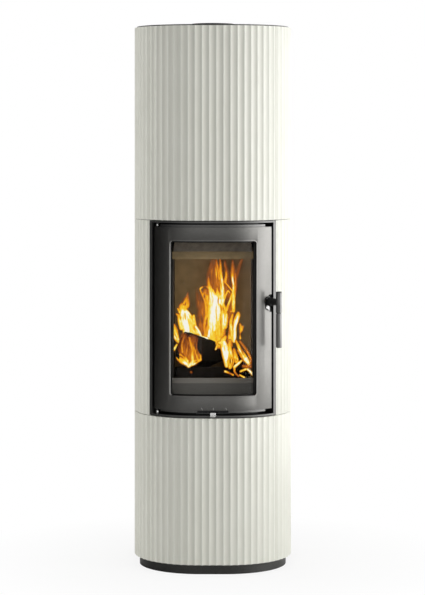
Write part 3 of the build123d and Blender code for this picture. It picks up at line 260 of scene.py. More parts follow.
def combine(piece, tool, operation):
    """Cuts one piece with another, or joins it on; the other one is used up."""
    only(piece)
    modifier = piece.modifiers.new("combine", "BOOLEAN")
    modifier.operation = operation
    modifier.solver = "EXACT"
    modifier.object = tool
    bpy.ops.object.modifier_apply(modifier=modifier.name)
    bpy.data.objects.remove(tool, do_unlink=True)
    return piece


def window_block(half_run, depth, height, corner):
    """Cutter with round corners, as seen from the front."""
    cutter = block("cutter", (-half_run, depth[0], height[0]), (half_run, depth[1], height[1]))
    bevel(cutter, runs_along("y"), corner, segments=6)
    return cutter


def finish_piece(piece, body, material, *nodes, slot=None):
    """Gives a piece its finish and the body it moves with, and hides the CAD nodes it stands for."""
    piece.data.materials.clear()
    piece.data.materials.append(material)
    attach(piece, body)
    if nodes:
        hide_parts(*nodes)
    return piece


# %% [markdown]
# A finish is never one flat colour. Paint has a fine grain, steel has brushed streaks, brick has
# pores and stains. Most of the finishes here mix two near colours by a noise, let the same noise
# change the roughness, and add a fine bump. One helper lays out those nodes.

# %% Helpers for the finishes
class Net:
    """The nodes of a material or of the world, and short ways to lay them out."""

    def __init__(self, owner):
        owner.use_nodes = True
        self.nodes = owner.node_tree.nodes
        self.link = owner.node_tree.links.new

    def give(self, socket, value):
        """Gives an input a constant, or the output of another node."""
        if isinstance(value, bpy.types.NodeSocket):
            self.link(value, socket)
        else:
            socket.default_value = value

    def feed(self, node, **values):
        """Gives several inputs their values; a name is written with _ for each space."""
        for name, value in values.items():
            self.give(node.inputs[name.replace("_", " ")], value)

    def add(self, kind, **values):
        """New node with its values."""
        node = self.nodes.new("ShaderNode" + kind)
        self.feed(node, **values)
        return node

    def vector(self, stretch=(1, 1, 1)):
        """Object coordinates, stretched."""
        return self.add("Mapping", Scale=stretch, Vector=self.add("TexCoord").outputs["Object"]).outputs["Vector"]

    def noise(self, vector, scale, detail=4.0, roughness=0.55):
        """Noise value on a vector."""
        return self.add("TexNoise", Scale=scale, Detail=detail, Roughness=roughness, Vector=vector).outputs["Fac"]

    def ramp(self, value, *stops):
        """Colour ramp; a stop is a place and a colour."""
        node = self.add("ValToRGB", Fac=value)
        elements = node.color_ramp.elements
        while len(elements) < len(stops):
            elements.new(0.5)
        for element, (place, colour) in zip(elements, stops):
            element.position = place
            element.color = (*colour, 1.0)
        return node.outputs["Color"]

    def spread(self, value, low, high, start=0.3, end=0.7):
        """Maps the middle of a noise to a range."""
        return self.add("MapRange", Value=value, From_Min=start, From_Max=end, To_Min=low,
                        To_Max=high).outputs["Result"]

    def math(self, operation, a, b):
        """Two values through a Math node."""
        node = self.add("Math")
        node.operation = operation
        self.give(node.inputs[0], a)
        self.give(node.inputs[1], b)
        return node.outputs["Value"]

    def bump(self, shader, height, strength, distance):
        """Bump on a shader."""
        node = self.add("Bump", Strength=strength, Distance=distance, Height=height)
        self.link(node.outputs["Normal"], shader.inputs["Normal"])

    def surface(self, share, first, second):
        """Sends a mix of two shaders to the output."""
        mix = self.add("MixShader", Fac=share)
        self.link(first.outputs[0], mix.inputs[1])
        self.link(second.outputs[0], mix.inputs[2])
        self.link(mix.outputs["Shader"], self.nodes["Material Output"].inputs["Surface"])


def new_material(name):
    """A material with its nodes and its shader."""
    material = bpy.data.materials.new(name)
    net = Net(material)
    return material, net, net.nodes["Principled BSDF"]


def grained(name, dark, light, scale, roughness, bump=0.1, distance=0.0002, metallic=0.0, stretch=(1, 1, 1),
            specular=0.5, detail=5.0):
    """Finish with a grain: two colours, a range of roughness and a bump from one noise."""
    material, net, shader = new_material(name)
    grain = net.noise(net.vector(stretch), scale, detail)
    net.feed(shader, Base_Color=net.ramp(grain, (0.35, dark), (0.65, light)), Metallic=metallic,
             Roughness=net.spread(grain, *roughness), Specular_IOR_Level=specular)
    net.bump(shader, grain, bump, distance)
    return material


# %% [markdown]
# The glaze is an off-white with a breath of green. It is satin, not glossy. Over the sharp crests of
# the flutes it is a little lighter: partly the glaze pulling thin, partly a painted highlight. The
# crests are marked by a number on the mesh, so the finish follows the shape and not the space around it.

# %% Finish: tile glaze
def glaze_material():
    """Satin glaze on ceramic."""
    material, net, shader = new_material("tile_glaze")
    vector = net.vector()
    cloud = net.noise(vector, 5.0, 3.0)
    crest = net.add("Attribute")
    crest.attribute_name = "crest"
    # Lighter on the crests: partly the glaze pulling thin there, partly a painted highlight.
    crest_thin_and_highlight = net.add("Mix")
    crest_thin_and_highlight.data_type = "RGBA"
    net.feed(crest_thin_and_highlight, Factor=crest.outputs["Fac"], B=(0.80, 0.80, 0.735, 1.0),
             A=net.ramp(cloud, (0.3, (0.735, 0.735, 0.655)), (0.7, (0.765, 0.765, 0.69))))
    net.feed(shader, Base_Color=crest_thin_and_highlight.outputs["Result"], Roughness=net.spread(cloud, 0.36, 0.44),
             Specular_IOR_Level=0.28)
    net.bump(shader, net.noise(vector, 420.0, 3.0), 0.05, 0.0001)
    return material


GLAZE = glaze_material()

# %% [markdown]
# The tiles are the face of this stove. Each flute is one shallow arc, and two arcs meet in a
# crest. A slab with narrow columns gets its rims rounded while it is flat, then its front
# vertices sink by the flute's depth at their run, and last the slab goes on to the plan. Column
# lines fall on the crests, so a crest stays crisp, and its last millimetre is eased off.

# %% Tiles
FLUTE_PITCH = 0.0222
FLUTE_DEPTH = 0.0032
FLUTE_RADIUS = (FLUTE_PITCH ** 2 / 4 + FLUTE_DEPTH ** 2) / (2 * FLUTE_DEPTH)
CREST_EASE = 0.0012
CREST_BAND = 0.0025
COLUMNS_PER_FLUTE = 20
TILE_THICKNESS = 0.028
TILE_JOINT = 0.0015
TILE_RIM = 0.0040
FRONT_TILE_RUN = 10 * FLUTE_PITCH
SIDE_END = CORNER_END + BODY_DEPTH - CORNER_RADIUS


def across_flute(run):
    """Distance from the middle of the nearest flute."""
    return abs((run + FLUTE_PITCH / 2) % FLUTE_PITCH - FLUTE_PITCH / 2)


def arc(across):
    """How far the arc of a flute lies behind the crests."""
    return FLUTE_DEPTH - FLUTE_RADIUS + math.sqrt(FLUTE_RADIUS ** 2 - across ** 2)


def flute(run):
    """How far the fluted face lies behind the crests, with the crests eased off."""
    across = across_flute(run)
    ease_from = FLUTE_PITCH / 2 - CREST_EASE
    if across <= ease_from:
        return arc(across)
    slope = ease_from / math.sqrt(FLUTE_RADIUS ** 2 - ease_from ** 2)
    part = across - ease_from
    return arc(ease_from) - slope * part + slope * part ** 2 / (2 * CREST_EASE)


def crest_share(vertex):
    """1 on a crest of the face, 0 away from it and on the back."""
    if vertex.co.y >= 0.5 * TILE_THICKNESS:
        return 0.0
    return max(0.0, 1.0 - (FLUTE_PITCH / 2 - across_flute(vertex.co.x)) / CREST_BAND)


def fluted_tile(name, start, end, low, high):
    """One tile between two runs and two heights."""
    pitch = FLUTE_PITCH / COLUMNS_PER_FLUTE
    outer = (math.floor(start / pitch + 0.01) * pitch, math.ceil(end / pitch - 0.01) * pitch)
    tile = slab(name, outer, (0.0, TILE_THICKNESS), (low, high), pitch)
    for place, way, edge in ((start, -1, outer[0]), (end, 1, outer[1])):
        if not near(place, edge):
            edit(tile)
            everything()
            bpy.ops.mesh.bisect(plane_co=(place, 0, 0), plane_no=(way, 0, 0), use_fill=True, clear_outer=True)
            done()
    ends = one_of(at("z", low), at("z", high), at("x", start), at("x", end))
    bevel(tile, all_of(at("y", 0.0), ends), TILE_RIM, segments=4)
    mesh = tile.data
    marks = mesh.attributes.new("crest", "FLOAT", "POINT")
    marks.data.foreach_set("value", [crest_share(vertex) for vertex in mesh.vertices])
    for vertex in mesh.vertices:
        vertex.co.y += flute(vertex.co.x) * (1.0 - vertex.co.y / TILE_THICKNESS)
    wrap(tile)
    soften(tile, 36.0)
    return tile


HALF_FRONT = FRONT_TILE_RUN - TILE_JOINT / 2
SIDE_START = FRONT_TILE_RUN + TILE_JOINT / 2
ROWS = {"lower": (0.0305, 0.4855), "middle": (0.487, 1.0975), "upper": (1.099, 1.706)}
for row, (low, high) in ROWS.items():
    runs = {"right": (SIDE_START, SIDE_END), "left": (-SIDE_END, -SIDE_START)}
    if row != "middle":
        runs["front"] = (-HALF_FRONT, HALF_FRONT)
    for side, (start, end) in runs.items():
        tile = fluted_tile(f"{row}_{side}_tile", start, end, low, high)
        finish_piece(tile, "stove", GLAZE, f"{row}_tile_{side}", slot="tile_glaze")
print("tile vertices", len(tile.data.vertices))

# %% [markdown]
# The door and its surround wear a metallic anthracite: fine flakes in a dark clear paint. It acts
# like a dull, dark metal with a broad sheen. The surround, the plinth and the sheets wear the
# same dark tone, but flatter.

# %% Finishes: paints and metals
FLAKES = 1400.0


def flake_material(name, tone, roughness, flake=0.25, metallic=0.97):
    """Metallic paint: dark metal with flakes that catch the light one by one."""
    material, net, shader = new_material(name)
    vector = net.vector()
    cells = net.add("TexVoronoi", Scale=FLAKES, Vector=vector)
    shade = net.add("SeparateColor", Color=cells.outputs["Color"])
    low, high = (tuple(c * part for c in tone) for part in (1.0 - flake, 1.0 + flake))
    net.feed(shader, Base_Color=net.ramp(shade.outputs["Red"], (0.0, low), (1.0, high)), Metallic=metallic,
             Roughness=net.spread(net.noise(vector, 9.0, 3.0), roughness - 0.03, roughness + 0.03))
    net.bump(shader, shade.outputs["Green"], 0.06, 0.0001)
    return material


DOOR_PAINT = flake_material("anthracite_door", (0.107, 0.105, 0.100), 0.38)
RIM_PAINT = flake_material("rim_paint", (0.150, 0.147, 0.141), 0.38)
# The cup's three tones are painted shade, painted half shade and a painted highlight, given to its faces by the way
# they face.
CUP_SHADE = grained("cup_painted_shade", (0.006, 0.006, 0.006), (0.010, 0.010, 0.010), 900.0, (0.5, 0.62), 0.1,
                    distance=0.0001, specular=0.10)
CUP_HALF_SHADE = flake_material("cup_half_shade", (0.230, 0.228, 0.220), 0.45, metallic=0.3)
CUP_HIGHLIGHT = flake_material("cup_painted_highlight", (0.52, 0.52, 0.51), 0.40, 0.05, metallic=0.15)
PLINTH_PAINT = flake_material("plinth_paint", (0.048, 0.048, 0.046), 0.42)
# Light grey: painted light on the reveal's lit wall, and the colour of the scale marks.
LIT_WALL_AND_MARK_GREY = grained("lit_wall_and_mark_grey", (0.26, 0.26, 0.25), (0.33, 0.33, 0.32), 900.0, (0.5, 0.62), 0.1,
                       distance=0.0001)
# Near-black: painted shade on the walls of the reveal.
REVEAL_SHADE = grained("reveal_painted_shade", (0.008, 0.008, 0.008), (0.012, 0.012, 0.012), 900.0, (0.5, 0.62), 0.1,
                      distance=0.0001, specular=0.2)
DARK_STEEL = grained("dark_steel", (0.016, 0.016, 0.016), (0.030, 0.030, 0.029), 260.0, (0.42, 0.55), 0.12,
                     specular=0.4)
LEVER_PAINT = flake_material("lever_paint", (0.120, 0.119, 0.116), 0.13, 0.10, metallic=0.55)
GRIP_PAINT = flake_material("grip_paint", (0.145, 0.144, 0.140), 0.34, 0.10, metallic=0.55)
ARM_PAINT = flake_material("arm_paint", (0.026, 0.026, 0.025), 0.45, 0.15, metallic=0.5)
BRIGHT_STEEL = grained("bright_steel", (0.55, 0.55, 0.54), (0.68, 0.67, 0.66), 300.0, (0.20, 0.32), 0.05,
                       metallic=1.0, stretch=(1, 1, 0.1))
SHEET_STEEL = grained("sheet_steel", (0.20, 0.20, 0.20), (0.34, 0.34, 0.335), 60.0, (0.38, 0.55), 0.06,
                      metallic=0.9)
COVER_PAINT = grained("cover_paint", (0.030, 0.030, 0.029), (0.042, 0.042, 0.040), 520.0, (0.45, 0.6), 0.2,
                      distance=0.00015)
INNER_PAINT = flake_material("inner_frame_paint", (0.110, 0.109, 0.106), 0.42)
BLACK_STEEL = grained("scorched_steel", (0.012, 0.011, 0.010), (0.035, 0.031, 0.027), 34.0, (0.5, 0.75), 0.15)
BUSH_BRASS = grained("bush_brass", (0.50, 0.36, 0.15), (0.62, 0.46, 0.20), 180.0, (0.25, 0.4), 0.05, metallic=1.0)
CAST_IRON = grained("cast_iron", (0.020, 0.018, 0.017), (0.050, 0.046, 0.043), 330.0, (0.6, 0.8), 0.5,
                    distance=0.0006)
FIREBRICK = grained("firebrick", (0.20, 0.157, 0.085), (0.27, 0.213, 0.118), 38.0, (0.8, 0.95), 0.35,
                    distance=0.0008, detail=8.0)
# A much darker brick than the back lining, for the side linings.
DARK_SIDE_BRICK = grained("dark_side_brick", (0.030, 0.030, 0.030), (0.045, 0.044, 0.043), 38.0, (0.8, 0.95), 0.2,
                      distance=0.0008, specular=0.2)
STORE_BRICK = grained("storage_brick", (0.20, 0.19, 0.18), (0.30, 0.285, 0.27), 55.0, (0.75, 0.9), 0.3,
                      distance=0.0007, detail=8.0)
DEFLECTOR_STEEL = grained("deflector_steel", (0.36, 0.33, 0.30), (0.48, 0.445, 0.41), 60.0, (0.5, 0.7), 0.15)


# %% Finishes that change over a piece
PAINTED_LIGHT_HEIGHTS = (0.545, 0.605)
LIP_FACE = 0.001
LIP_EDGE = (CORNER_RADIUS - LIP_FACE - 0.0012, CORNER_RADIUS - LIP_FACE - 0.0006)


def retainer_paint():
    """Steel of the log retainer, painted lighter towards the bottom and with a painted highlight along its upper edge.
    """
    material, net, shader = new_material("retainer_steel")
    vector = net.vector()
    height = net.spread(net.add("SeparateXYZ", Vector=vector).outputs["Z"], 0.0, 1.0, *PAINTED_LIGHT_HEIGHTS)
    grain = net.noise(vector, 90.0)
    # Painted light by height: lighter towards the bottom to make up for the shade there, and a bright band along the
    # upper edge as a painted highlight.
    net.feed(shader, Roughness=net.spread(grain, 0.45, 0.6),
             Base_Color=net.ramp(height, (0.0, (0.185, 0.183, 0.176)), (0.35, (0.150, 0.148, 0.142)),
                                 (0.66, (0.122, 0.120, 0.115)), (0.71, (0.265, 0.262, 0.252))))
    net.bump(shader, grain, 0.1, 0.0002)
    return material


def surround_paint():
    """Dark paint on the lip of the surround, with painted black shade on all that lies behind its face."""
    material, net, shader = new_material("anthracite_frame")
    vector = net.vector()
    place = net.add("SeparateXYZ", Vector=vector)
    across = net.math("ABSOLUTE", place.outputs["X"], 0.0)
    across = net.math("MAXIMUM", net.math("SUBTRACT", across, HALF_FLAT), 0.0)
    back = net.math("SUBTRACT", place.outputs["Y"], CORNER_Y)
    reach = net.math("ADD", net.math("MULTIPLY", across, across), net.math("MULTIPLY", back, back))
    face = net.spread(net.math("POWER", reach, 0.5), 0.0, 1.0, *LIP_EDGE)
    # Black behind the lip's face is painted shade, for the gap round the door.
    net.feed(shader, Base_Color=net.ramp(face, (0.0, (0.006, 0.006, 0.006)), (1.0, (0.088, 0.087, 0.084))),
             Metallic=net.spread(face, 0.05, 0.65, 0.0, 1.0),
             Roughness=net.spread(net.noise(vector, 9.0, 3.0), 0.39, 0.45))
    net.bump(shader, net.noise(vector, 900.0, 2.0), 0.05, 0.0001)
    return material


FRAME_PAINT = surround_paint()
RETAINER_PAINT = retainer_paint()

# %% [markdown]
# The door panel is a curved plate with a window. The plate is cut while it is flat, with a cutter
# that has round corners, and its rims are rounded before it goes on to the curve. The window is
# lined with two narrow rings: a rim that lies level with the plate, and the walls of the reveal
# behind it. The handle's cup needs an eight-sided hole. It is cut last, on the curved door, because
# its sides are flat.

# %% Sizes of the door
DOOR_RUN = 0.2018
DOOR = (0.510, 1.0785)
DOOR_FACE = 0.003
DOOR_BACK = 0.010
WINDOW_RUN = 0.142
WINDOW = (0.554, 1.035)
WINDOW_CORNER = 0.009
RIM_WIDTH = 0.0028
RIM_DEPTH = 0.003
REVEAL_BACK = 0.015
REVEAL_WALL = 0.008
HINGE_ROUND, OUTER_ROUND, RIM_ROUND, WINDOW_ROUND, HOLE_ROUND = 0.0048, 0.0026, 0.0009, 0.0006, 0.0010
HANDLE_ORIGIN = (0.178921, -0.188483, 0.847)
HANDLE_TURN = math.radians(41.417)
CUP_RISE = -0.0078
CUP_SIDE = (-0.0160, 0.0155)
CUP_TOP = (0.0012, 0.0256)
CUP_REACH = 0.030
CUP_GROOVE = 0.0017
CUP_SLANT = 0.55
CUP_ZONE = (-0.026, 0.0085)
CUP_ZONE_HEIGHT = 0.034
HOLE_RIM_OUT = (-0.0085, -0.0020)
HOLE_START, HOLE_DEPTH = -0.006, 0.022
RING_MORE = 0.004
CUT_PAST = 0.01
WINDOW_CUT = (-0.01, 0.03)


def in_handle_frame(x, y):
    """A direction in plan, split into along the door and out of it."""
    cos, sin = math.cos(HANDLE_TURN), math.sin(HANDLE_TURN)
    return x * cos + y * sin, x * sin - y * cos


def handle_place(co):
    """A point in the handle's own frame: along the door, out of it and up."""
    along, out = in_handle_frame(co.x - HANDLE_ORIGIN[0], co.y - HANDLE_ORIGIN[1])
    return along, out, co.z - HANDLE_ORIGIN[2]


def stand_on_door(piece):
    """Moves a piece from the bench, where -y is out of the door, to the handle's place."""
    piece.rotation_euler = (0.0, 0.0, HANDLE_TURN)
    piece.location = HANDLE_ORIGIN
    return settle(piece)


def cup_outline(grow):
    """Corners of the cup's outline, grown outwards: half an octagon that runs on past the door's edge."""
    side = (CUP_SIDE[0] - grow, CUP_SIDE[1] + CUP_SLANT * grow)
    top = (CUP_TOP[0] - CUP_SLANT * grow, CUP_TOP[1] + grow)
    upper = [side, top, (CUP_REACH, top[1])]
    return upper + [(along, -up) for along, up in reversed(upper)]


def cup_face(name, grow, out):
    """Filled outline of the cup on the bench."""
    corners = cup_outline(grow)
    face = add(bpy.ops.mesh.primitive_circle_add, name, vertices=len(corners), radius=0.02, fill_type="NGON",
               rotation=UPRIGHT)
    for vertex, (along, up) in zip(face.data.vertices, corners):
        vertex.co = (along, out, up + CUP_RISE)
    return face


def window_ring(name, depth, outer, inner):
    """Ring round the window, between two margins past it, with round corners."""
    more = outer + RING_MORE
    reach = (depth[0] - CUT_PAST, depth[1] + CUT_PAST)
    ring = slab(name, (-WINDOW_RUN - more, WINDOW_RUN + more), depth, (WINDOW[0] - more, WINDOW[1] + more))
    for margin, operation in ((outer, "INTERSECT"), (inner, "DIFFERENCE")):
        height = (WINDOW[0] - margin, WINDOW[1] + margin)
        combine(ring, window_block(WINDOW_RUN + margin, reach, height, WINDOW_CORNER + margin), operation)
    return ring


# %% Edges of the door
def front_edges(edge):
    """Edges of a flat piece where its face meets a wall."""
    if len(edge.link_faces) != 2 or not at("y", DOOR_FACE)(edge):
        return False
    return min(abs(face.normal.y) for face in edge.link_faces) < 0.5


outer_rim = all_of(front_edges, one_of(at("z", DOOR[0]), at("z", DOOR[1]), at("x", DOOR_RUN)))


def inner_rim(edge):
    """Front edges round the window."""
    return front_edges(edge) and not outer_rim(edge) and all(
        abs(v.co.x) < WINDOW_RUN + 0.01 and WINDOW[0] - 0.02 < v.co.z < WINDOW[1] + 0.02 for v in edge.verts)


def by_the_cup(co):
    """True for a place on the door that is near the cup."""
    along, out, up = handle_place(co)
    return CUP_ZONE[0] < along < CUP_ZONE[1] and abs(up - CUP_RISE) < CUP_ZONE_HEIGHT


def hole_rim(edge):
    """Edge where the cup's hole meets the door's face."""
    on_face = all(by_the_cup(v.co) and HOLE_RIM_OUT[0] < handle_place(v.co)[1] < HOLE_RIM_OUT[1] for v in edge.verts)
    return on_face and sharper_than(50)(edge) and not sharper_than(110)(edge)


# %% Door panel
panel = slab("door_front", (-DOOR_RUN, DOOR_RUN), (DOOR_FACE, DOOR_BACK), DOOR)
combine(panel, window_block(WINDOW_RUN + RIM_WIDTH, WINDOW_CUT, (WINDOW[0] - RIM_WIDTH, WINDOW[1] + RIM_WIDTH),
                            WINDOW_CORNER + RIM_WIDTH), "DIFFERENCE")
bevel(panel, all_of(at("y", DOOR_FACE), at("x", -DOOR_RUN)), HINGE_ROUND, segments=6)
print("outer rim edges", bevel(panel, outer_rim, OUTER_ROUND, segments=4))
print("inner rim edges", bevel(panel, inner_rim, WINDOW_ROUND))
wrap(panel)
cup_hole = thicken(cup_face("cup_hole", CUP_GROOVE, HOLE_START), (0.0, HOLE_DEPTH, 0.0))
combine(panel, stand_on_door(cup_hole), "DIFFERENCE")
print("hole rim edges", bevel(panel, hole_rim, HOLE_ROUND, segments=3))
soften(panel, 28.0)
finish_piece(panel, "door", DOOR_PAINT, "door_panel", slot="anthracite_door")
panel.data.materials.append(CUP_SHADE)
# The walls of the cup's hole in the plate are painted black, as the shade in the hole.
for face in panel.data.polygons:
    if by_the_cup(face.center) and abs(in_handle_frame(face.normal.x, face.normal.y)[1]) < 0.9:
        face.material_index = 1

rim = window_ring("window_rim", (DOOR_FACE, DOOR_FACE + RIM_DEPTH), RIM_WIDTH - 0.0001, 0.0)
print("rim edges", bevel(rim, front_edges, RIM_ROUND, segments=3))
reveal = window_ring("window_reveal", (DOOR_FACE + RIM_DEPTH, REVEAL_BACK), REVEAL_WALL, 0.0004)
for ring, paint in ((rim, RIM_PAINT), (reveal, REVEAL_SHADE)):
    wrap(ring)
    soften(ring, 30.0)
    finish_piece(ring, "door", paint, "door_panel", slot="anthracite_door")
# The reveal's left wall, which faces the lamps, is painted light grey as if lit; its other walls are painted near-black
# as shade.
reveal.data.materials.append(LIT_WALL_AND_MARK_GREY)
for face in reveal.data.polygons:
    if face.normal.x > 0.5 and face.center.x < -0.12:
        face.material_index = 1

# %% [markdown]
# The cup behind the handle is a funnel of thin metal with flat sides. A filled face is inset twice:
# once for the rim, and once more for the slanting sides, whose inner edge then goes back. The
# middle stays as a floor that the hub goes through, painted black as the shade deep in the cup. The
# door's edge cuts the cup off, and a bisect does the same here. Each side gets painted light by the
# way it faces: the slants that face up are painted bright as a highlight, the upright side that faces
# along the door and the slants that face down a shaded grey, and all the rest black as shade.

# %% Handle cup
CUP_FRONT = 0.0042
CUP_DEPTH = 0.0035
CUP_SLOPE = 0.0085
CUP_LIFT = 0.0035
CUP_LIP = 0.0007
CUP_SHEET = 0.0009
CUP_END = 0.0096
cup = cup_face("handle_cup", -CUP_GROOVE, CUP_FRONT)
edit(cup, "FACE")
everything()
bpy.ops.mesh.inset(thickness=CUP_LIP)
bpy.ops.mesh.inset(thickness=CUP_SLOPE, depth=0.0)
bpy.ops.transform.translate(value=(0.0, CUP_DEPTH, CUP_LIFT))
everything()
bpy.ops.mesh.bisect(plane_co=(CUP_END, 0, 0), plane_no=(1, 0, 0), clear_outer=True)
face_outwards()
done()
if min(face.normal.y for face in cup.data.polygons) > -0.5:
    cup.data.flip_normals()
shell = cup.modifiers.new("shell", "SOLIDIFY")
shell.thickness = CUP_SHEET
shell.offset = -1.0
only(cup)
bpy.ops.object.modifier_apply(modifier=shell.name)
stand_on_door(cup)
finish_piece(cup, "door", CUP_SHADE, slot="anthracite_door")
cup.data.materials.append(CUP_HALF_SHADE)
cup.data.materials.append(CUP_HIGHLIGHT)
# Painted light by facing: up-facing slants bright as a highlight, the side and down-facing slants shaded grey, the rest
# black as shade.
for face in cup.data.polygons:
    lean = in_handle_frame(face.normal.x, face.normal.y)[0]
    if lean > 0.5 and abs(face.normal.z) < 0.1:
        face.material_index = 1
    elif 0.12 < lean < 0.6 and abs(face.normal.z) > 0.1:
        face.material_index = 2 if face.normal.z > 0.0 else 1
print("cup", [round(v, 4) for v in cup.dimensions], len(cup.data.polygons))

# %% [markdown]
# Three short strokes under the window are the scale of the air slider. They are pressed into the
# real door; here they are thin pale inlays that lie on the curved face.

# %% Scale of the air slider
MARK_RUN, MARK_HEIGHT, MARK_MIDDLE = (-0.0010, 0.0010), (0.5115, 0.5185), 0.5158
for name, run, lean in (("scale_left", -0.0340, -0.40), ("scale_middle", 0.0016, 0.0), ("scale_right", 0.0412, -0.40)):
    mark = slab(name, MARK_RUN, (DOOR_FACE - 0.0001, DOOR_FACE + 0.002), MARK_HEIGHT, 0.0012)
    for vertex in mark.data.vertices:
        vertex.co.x += run + lean * (vertex.co.z - MARK_MIDDLE)
    wrap(mark)
    finish_piece(mark, "door", LIT_WALL_AND_MARK_GREY, slot="dark_steel")

# %% [markdown]
# The pane is curved glass ceramic, four millimetres thick. Clear panes are made from a mix: most
# of the light goes straight through, and a thin coat of reflection lies over it, stronger at a
# glancing angle. Seen straight on it hardly shows, so the fire stays clear.

# %% Pane
PANE_RUN, PANE_DEPTH, PANE = 0.152, (0.017, 0.021), (0.544, 1.045)


def pane_material():
    """Clear pane with a reflection that grows towards the edge of sight."""
    material, net, shader = new_material("door_glass")
    net.nodes.remove(shader)
    haze = net.spread(net.noise(net.vector((1, 1, 0.4)), 14.0, 4.0), 0.8, 1.15)
    net.surface(net.math("MULTIPLY", net.add("Fresnel", IOR=1.12).outputs["Fac"], haze),
                net.add("BsdfTransparent", Color=(0.97, 0.965, 0.95, 1.0)), net.add("BsdfGlossy", Roughness=0.04))
    return material


pane = slab("curved_pane", (-PANE_RUN, PANE_RUN), PANE_DEPTH, PANE)
bevel(pane, one_of(at("z", PANE[0]), at("z", PANE[1])), 0.0006, 1)
wrap(pane)
soften(pane)
finish_piece(pane, "door", pane_material(), "door_glass", slot="door_glass")

# %% Dark border of the pane
BORDER = grained("pane_border", (0.003, 0.003, 0.003), (0.006, 0.006, 0.006), 500.0, (0.4, 0.5), 0.05, specular=0.2)
border = window_ring("pane_border", (PANE_DEPTH[0] - 0.0004, PANE_DEPTH[0]), -0.0001, -0.0047)
wrap(border)
finish_piece(border, "door", BORDER, slot="door_glass")

# %% [markdown]
# Three joints in this stove are closed with woven glass fibre: a rope round the back of the door,
# a flat tape under the pane, and tapes between the rows of tiles. The rope is a curve with an
# oval section, so its corners turn as a rope does. A pattern of crossing waves gives the braid.

# %% Braid, and the tape under the pane
def braid_material(name, dark, light, scale):
    """Braided glass fibre."""
    material, net, shader = new_material(name)
    strands = []
    for lean in (1.0, -1.0):
        wave = net.add("TexWave", Scale=scale, Distortion=1.5, Vector=net.vector((1.0, 1.0, lean)))
        wave.bands_direction = "DIAGONAL"
        strands.append(wave.outputs["Fac"])
    weave = net.math("MULTIPLY", *strands)
    net.feed(shader, Base_Color=net.ramp(weave, (0.0, dark), (1.0, light)), Roughness=0.9, Sheen_Weight=0.3)
    net.bump(shader, weave, 0.8, 0.0008)
    return material


ROPE = braid_material("rope", (0.030, 0.028, 0.026), (0.16, 0.15, 0.14), 150.0)
TAPE_RUN, TAPE, TAPE_WIDTH = 0.150, (0.546, 1.043), 0.008
tape = slab("pane_tape", (-TAPE_RUN, TAPE_RUN), (REVEAL_BACK, PANE_DEPTH[0]), TAPE)
combine(tape, block("cutter", (-TAPE_RUN + TAPE_WIDTH, REVEAL_BACK - CUT_PAST, TAPE[0] + TAPE_WIDTH),
                    (TAPE_RUN - TAPE_WIDTH, PANE_DEPTH[0] + CUT_PAST, TAPE[1] - TAPE_WIDTH)), "DIFFERENCE")
wrap(tape)
finish_piece(tape, "door", ROPE, "glass_seal", slot="rope")

# %% Rope round the back of the door
ROPE_RUN, ROPE_LOW, ROPE_HIGH, ROPE_CORNER, ROPE_SET_IN = 0.173, 0.516, 1.0695, 0.010, 0.0291
ROPE_SECTION, ROPE_STEP, ROPE_CORNER_STEPS = (0.0029, 0.0047, 1.0), 0.006, 4
oval = add(bpy.ops.curve.primitive_bezier_circle_add, "rope_section", ROPE_SECTION, radius=1.0)
route = bpy.data.curves.new("door_rope", "CURVE")
route.dimensions = "3D"
corners = []
for side, up, start in ((1, 1, 0), (-1, 1, 90), (-1, -1, 180), (1, -1, 270)):
    middle = (side * (ROPE_RUN - ROPE_CORNER), (ROPE_HIGH if up > 0 else ROPE_LOW) - up * ROPE_CORNER)
    for step in range(ROPE_CORNER_STEPS + 1):
        angle = math.radians(start + 90 / ROPE_CORNER_STEPS * step)
        corners.append((middle[0] + ROPE_CORNER * math.cos(angle), middle[1] + ROPE_CORNER * math.sin(angle)))
points = []
for a, b in zip(corners, corners[1:] + corners[:1]):
    steps = max(1, round(math.dist(a, b) / ROPE_STEP))
    points += [(a[0] + (b[0] - a[0]) * n / steps, a[1] + (b[1] - a[1]) * n / steps) for n in range(steps)]
line = route.splines.new("POLY")
line.points.add(len(points) - 1)
for point, (run, height) in zip(line.points, points):
    point.co = (run, ROPE_SET_IN, height, 1.0)
line.use_cyclic_u = True
route.bevel_mode = "OBJECT"
route.bevel_object = oval
rope = bpy.data.objects.new("door_rope", route)
scene.collection.objects.link(rope)
only(rope)
bpy.ops.object.convert(target="MESH")
rope = bpy.context.object
bpy.data.objects.remove(oval, do_unlink=True)
wrap(rope)
soften(rope, 50.0)
finish_piece(rope, "door", ROPE, "door_seal", slot="rope")
print("rope box", [round(v, 4) for v in rope.dimensions])

# %% Tapes between the rows of tiles
ROW_TAPE_RUN, ROW_TAPE_DEPTH, ROW_TAPE_COLUMN = (0.225, 0.5968), (0.008, 0.022), 0.006
right, left = ROW_TAPE_RUN, (-ROW_TAPE_RUN[1], -ROW_TAPE_RUN[0])
joints = ((ROWS["lower"][1], ROWS["middle"][0]), (ROWS["middle"][1], ROWS["upper"][0]))
row_tapes = join([slab("row_tape", run, ROW_TAPE_DEPTH, joint, ROW_TAPE_COLUMN)
                  for joint in joints for run in (right, left)], "row_tapes")
wrap(row_tapes)
finish_piece(row_tapes, "stove", ROPE, "joint_tapes", slot="rope")

# %% [markdown]
# The handle is a forged lever. Its eight-sided hub sits in the funnel, a waisted arm comes out of
# it, and the arm carries an upright sleeve. The arm starts as the hub's outer face, extruded and
# scaled step by step. The sleeve, its cap, the neck and the grip below it are turned bars.

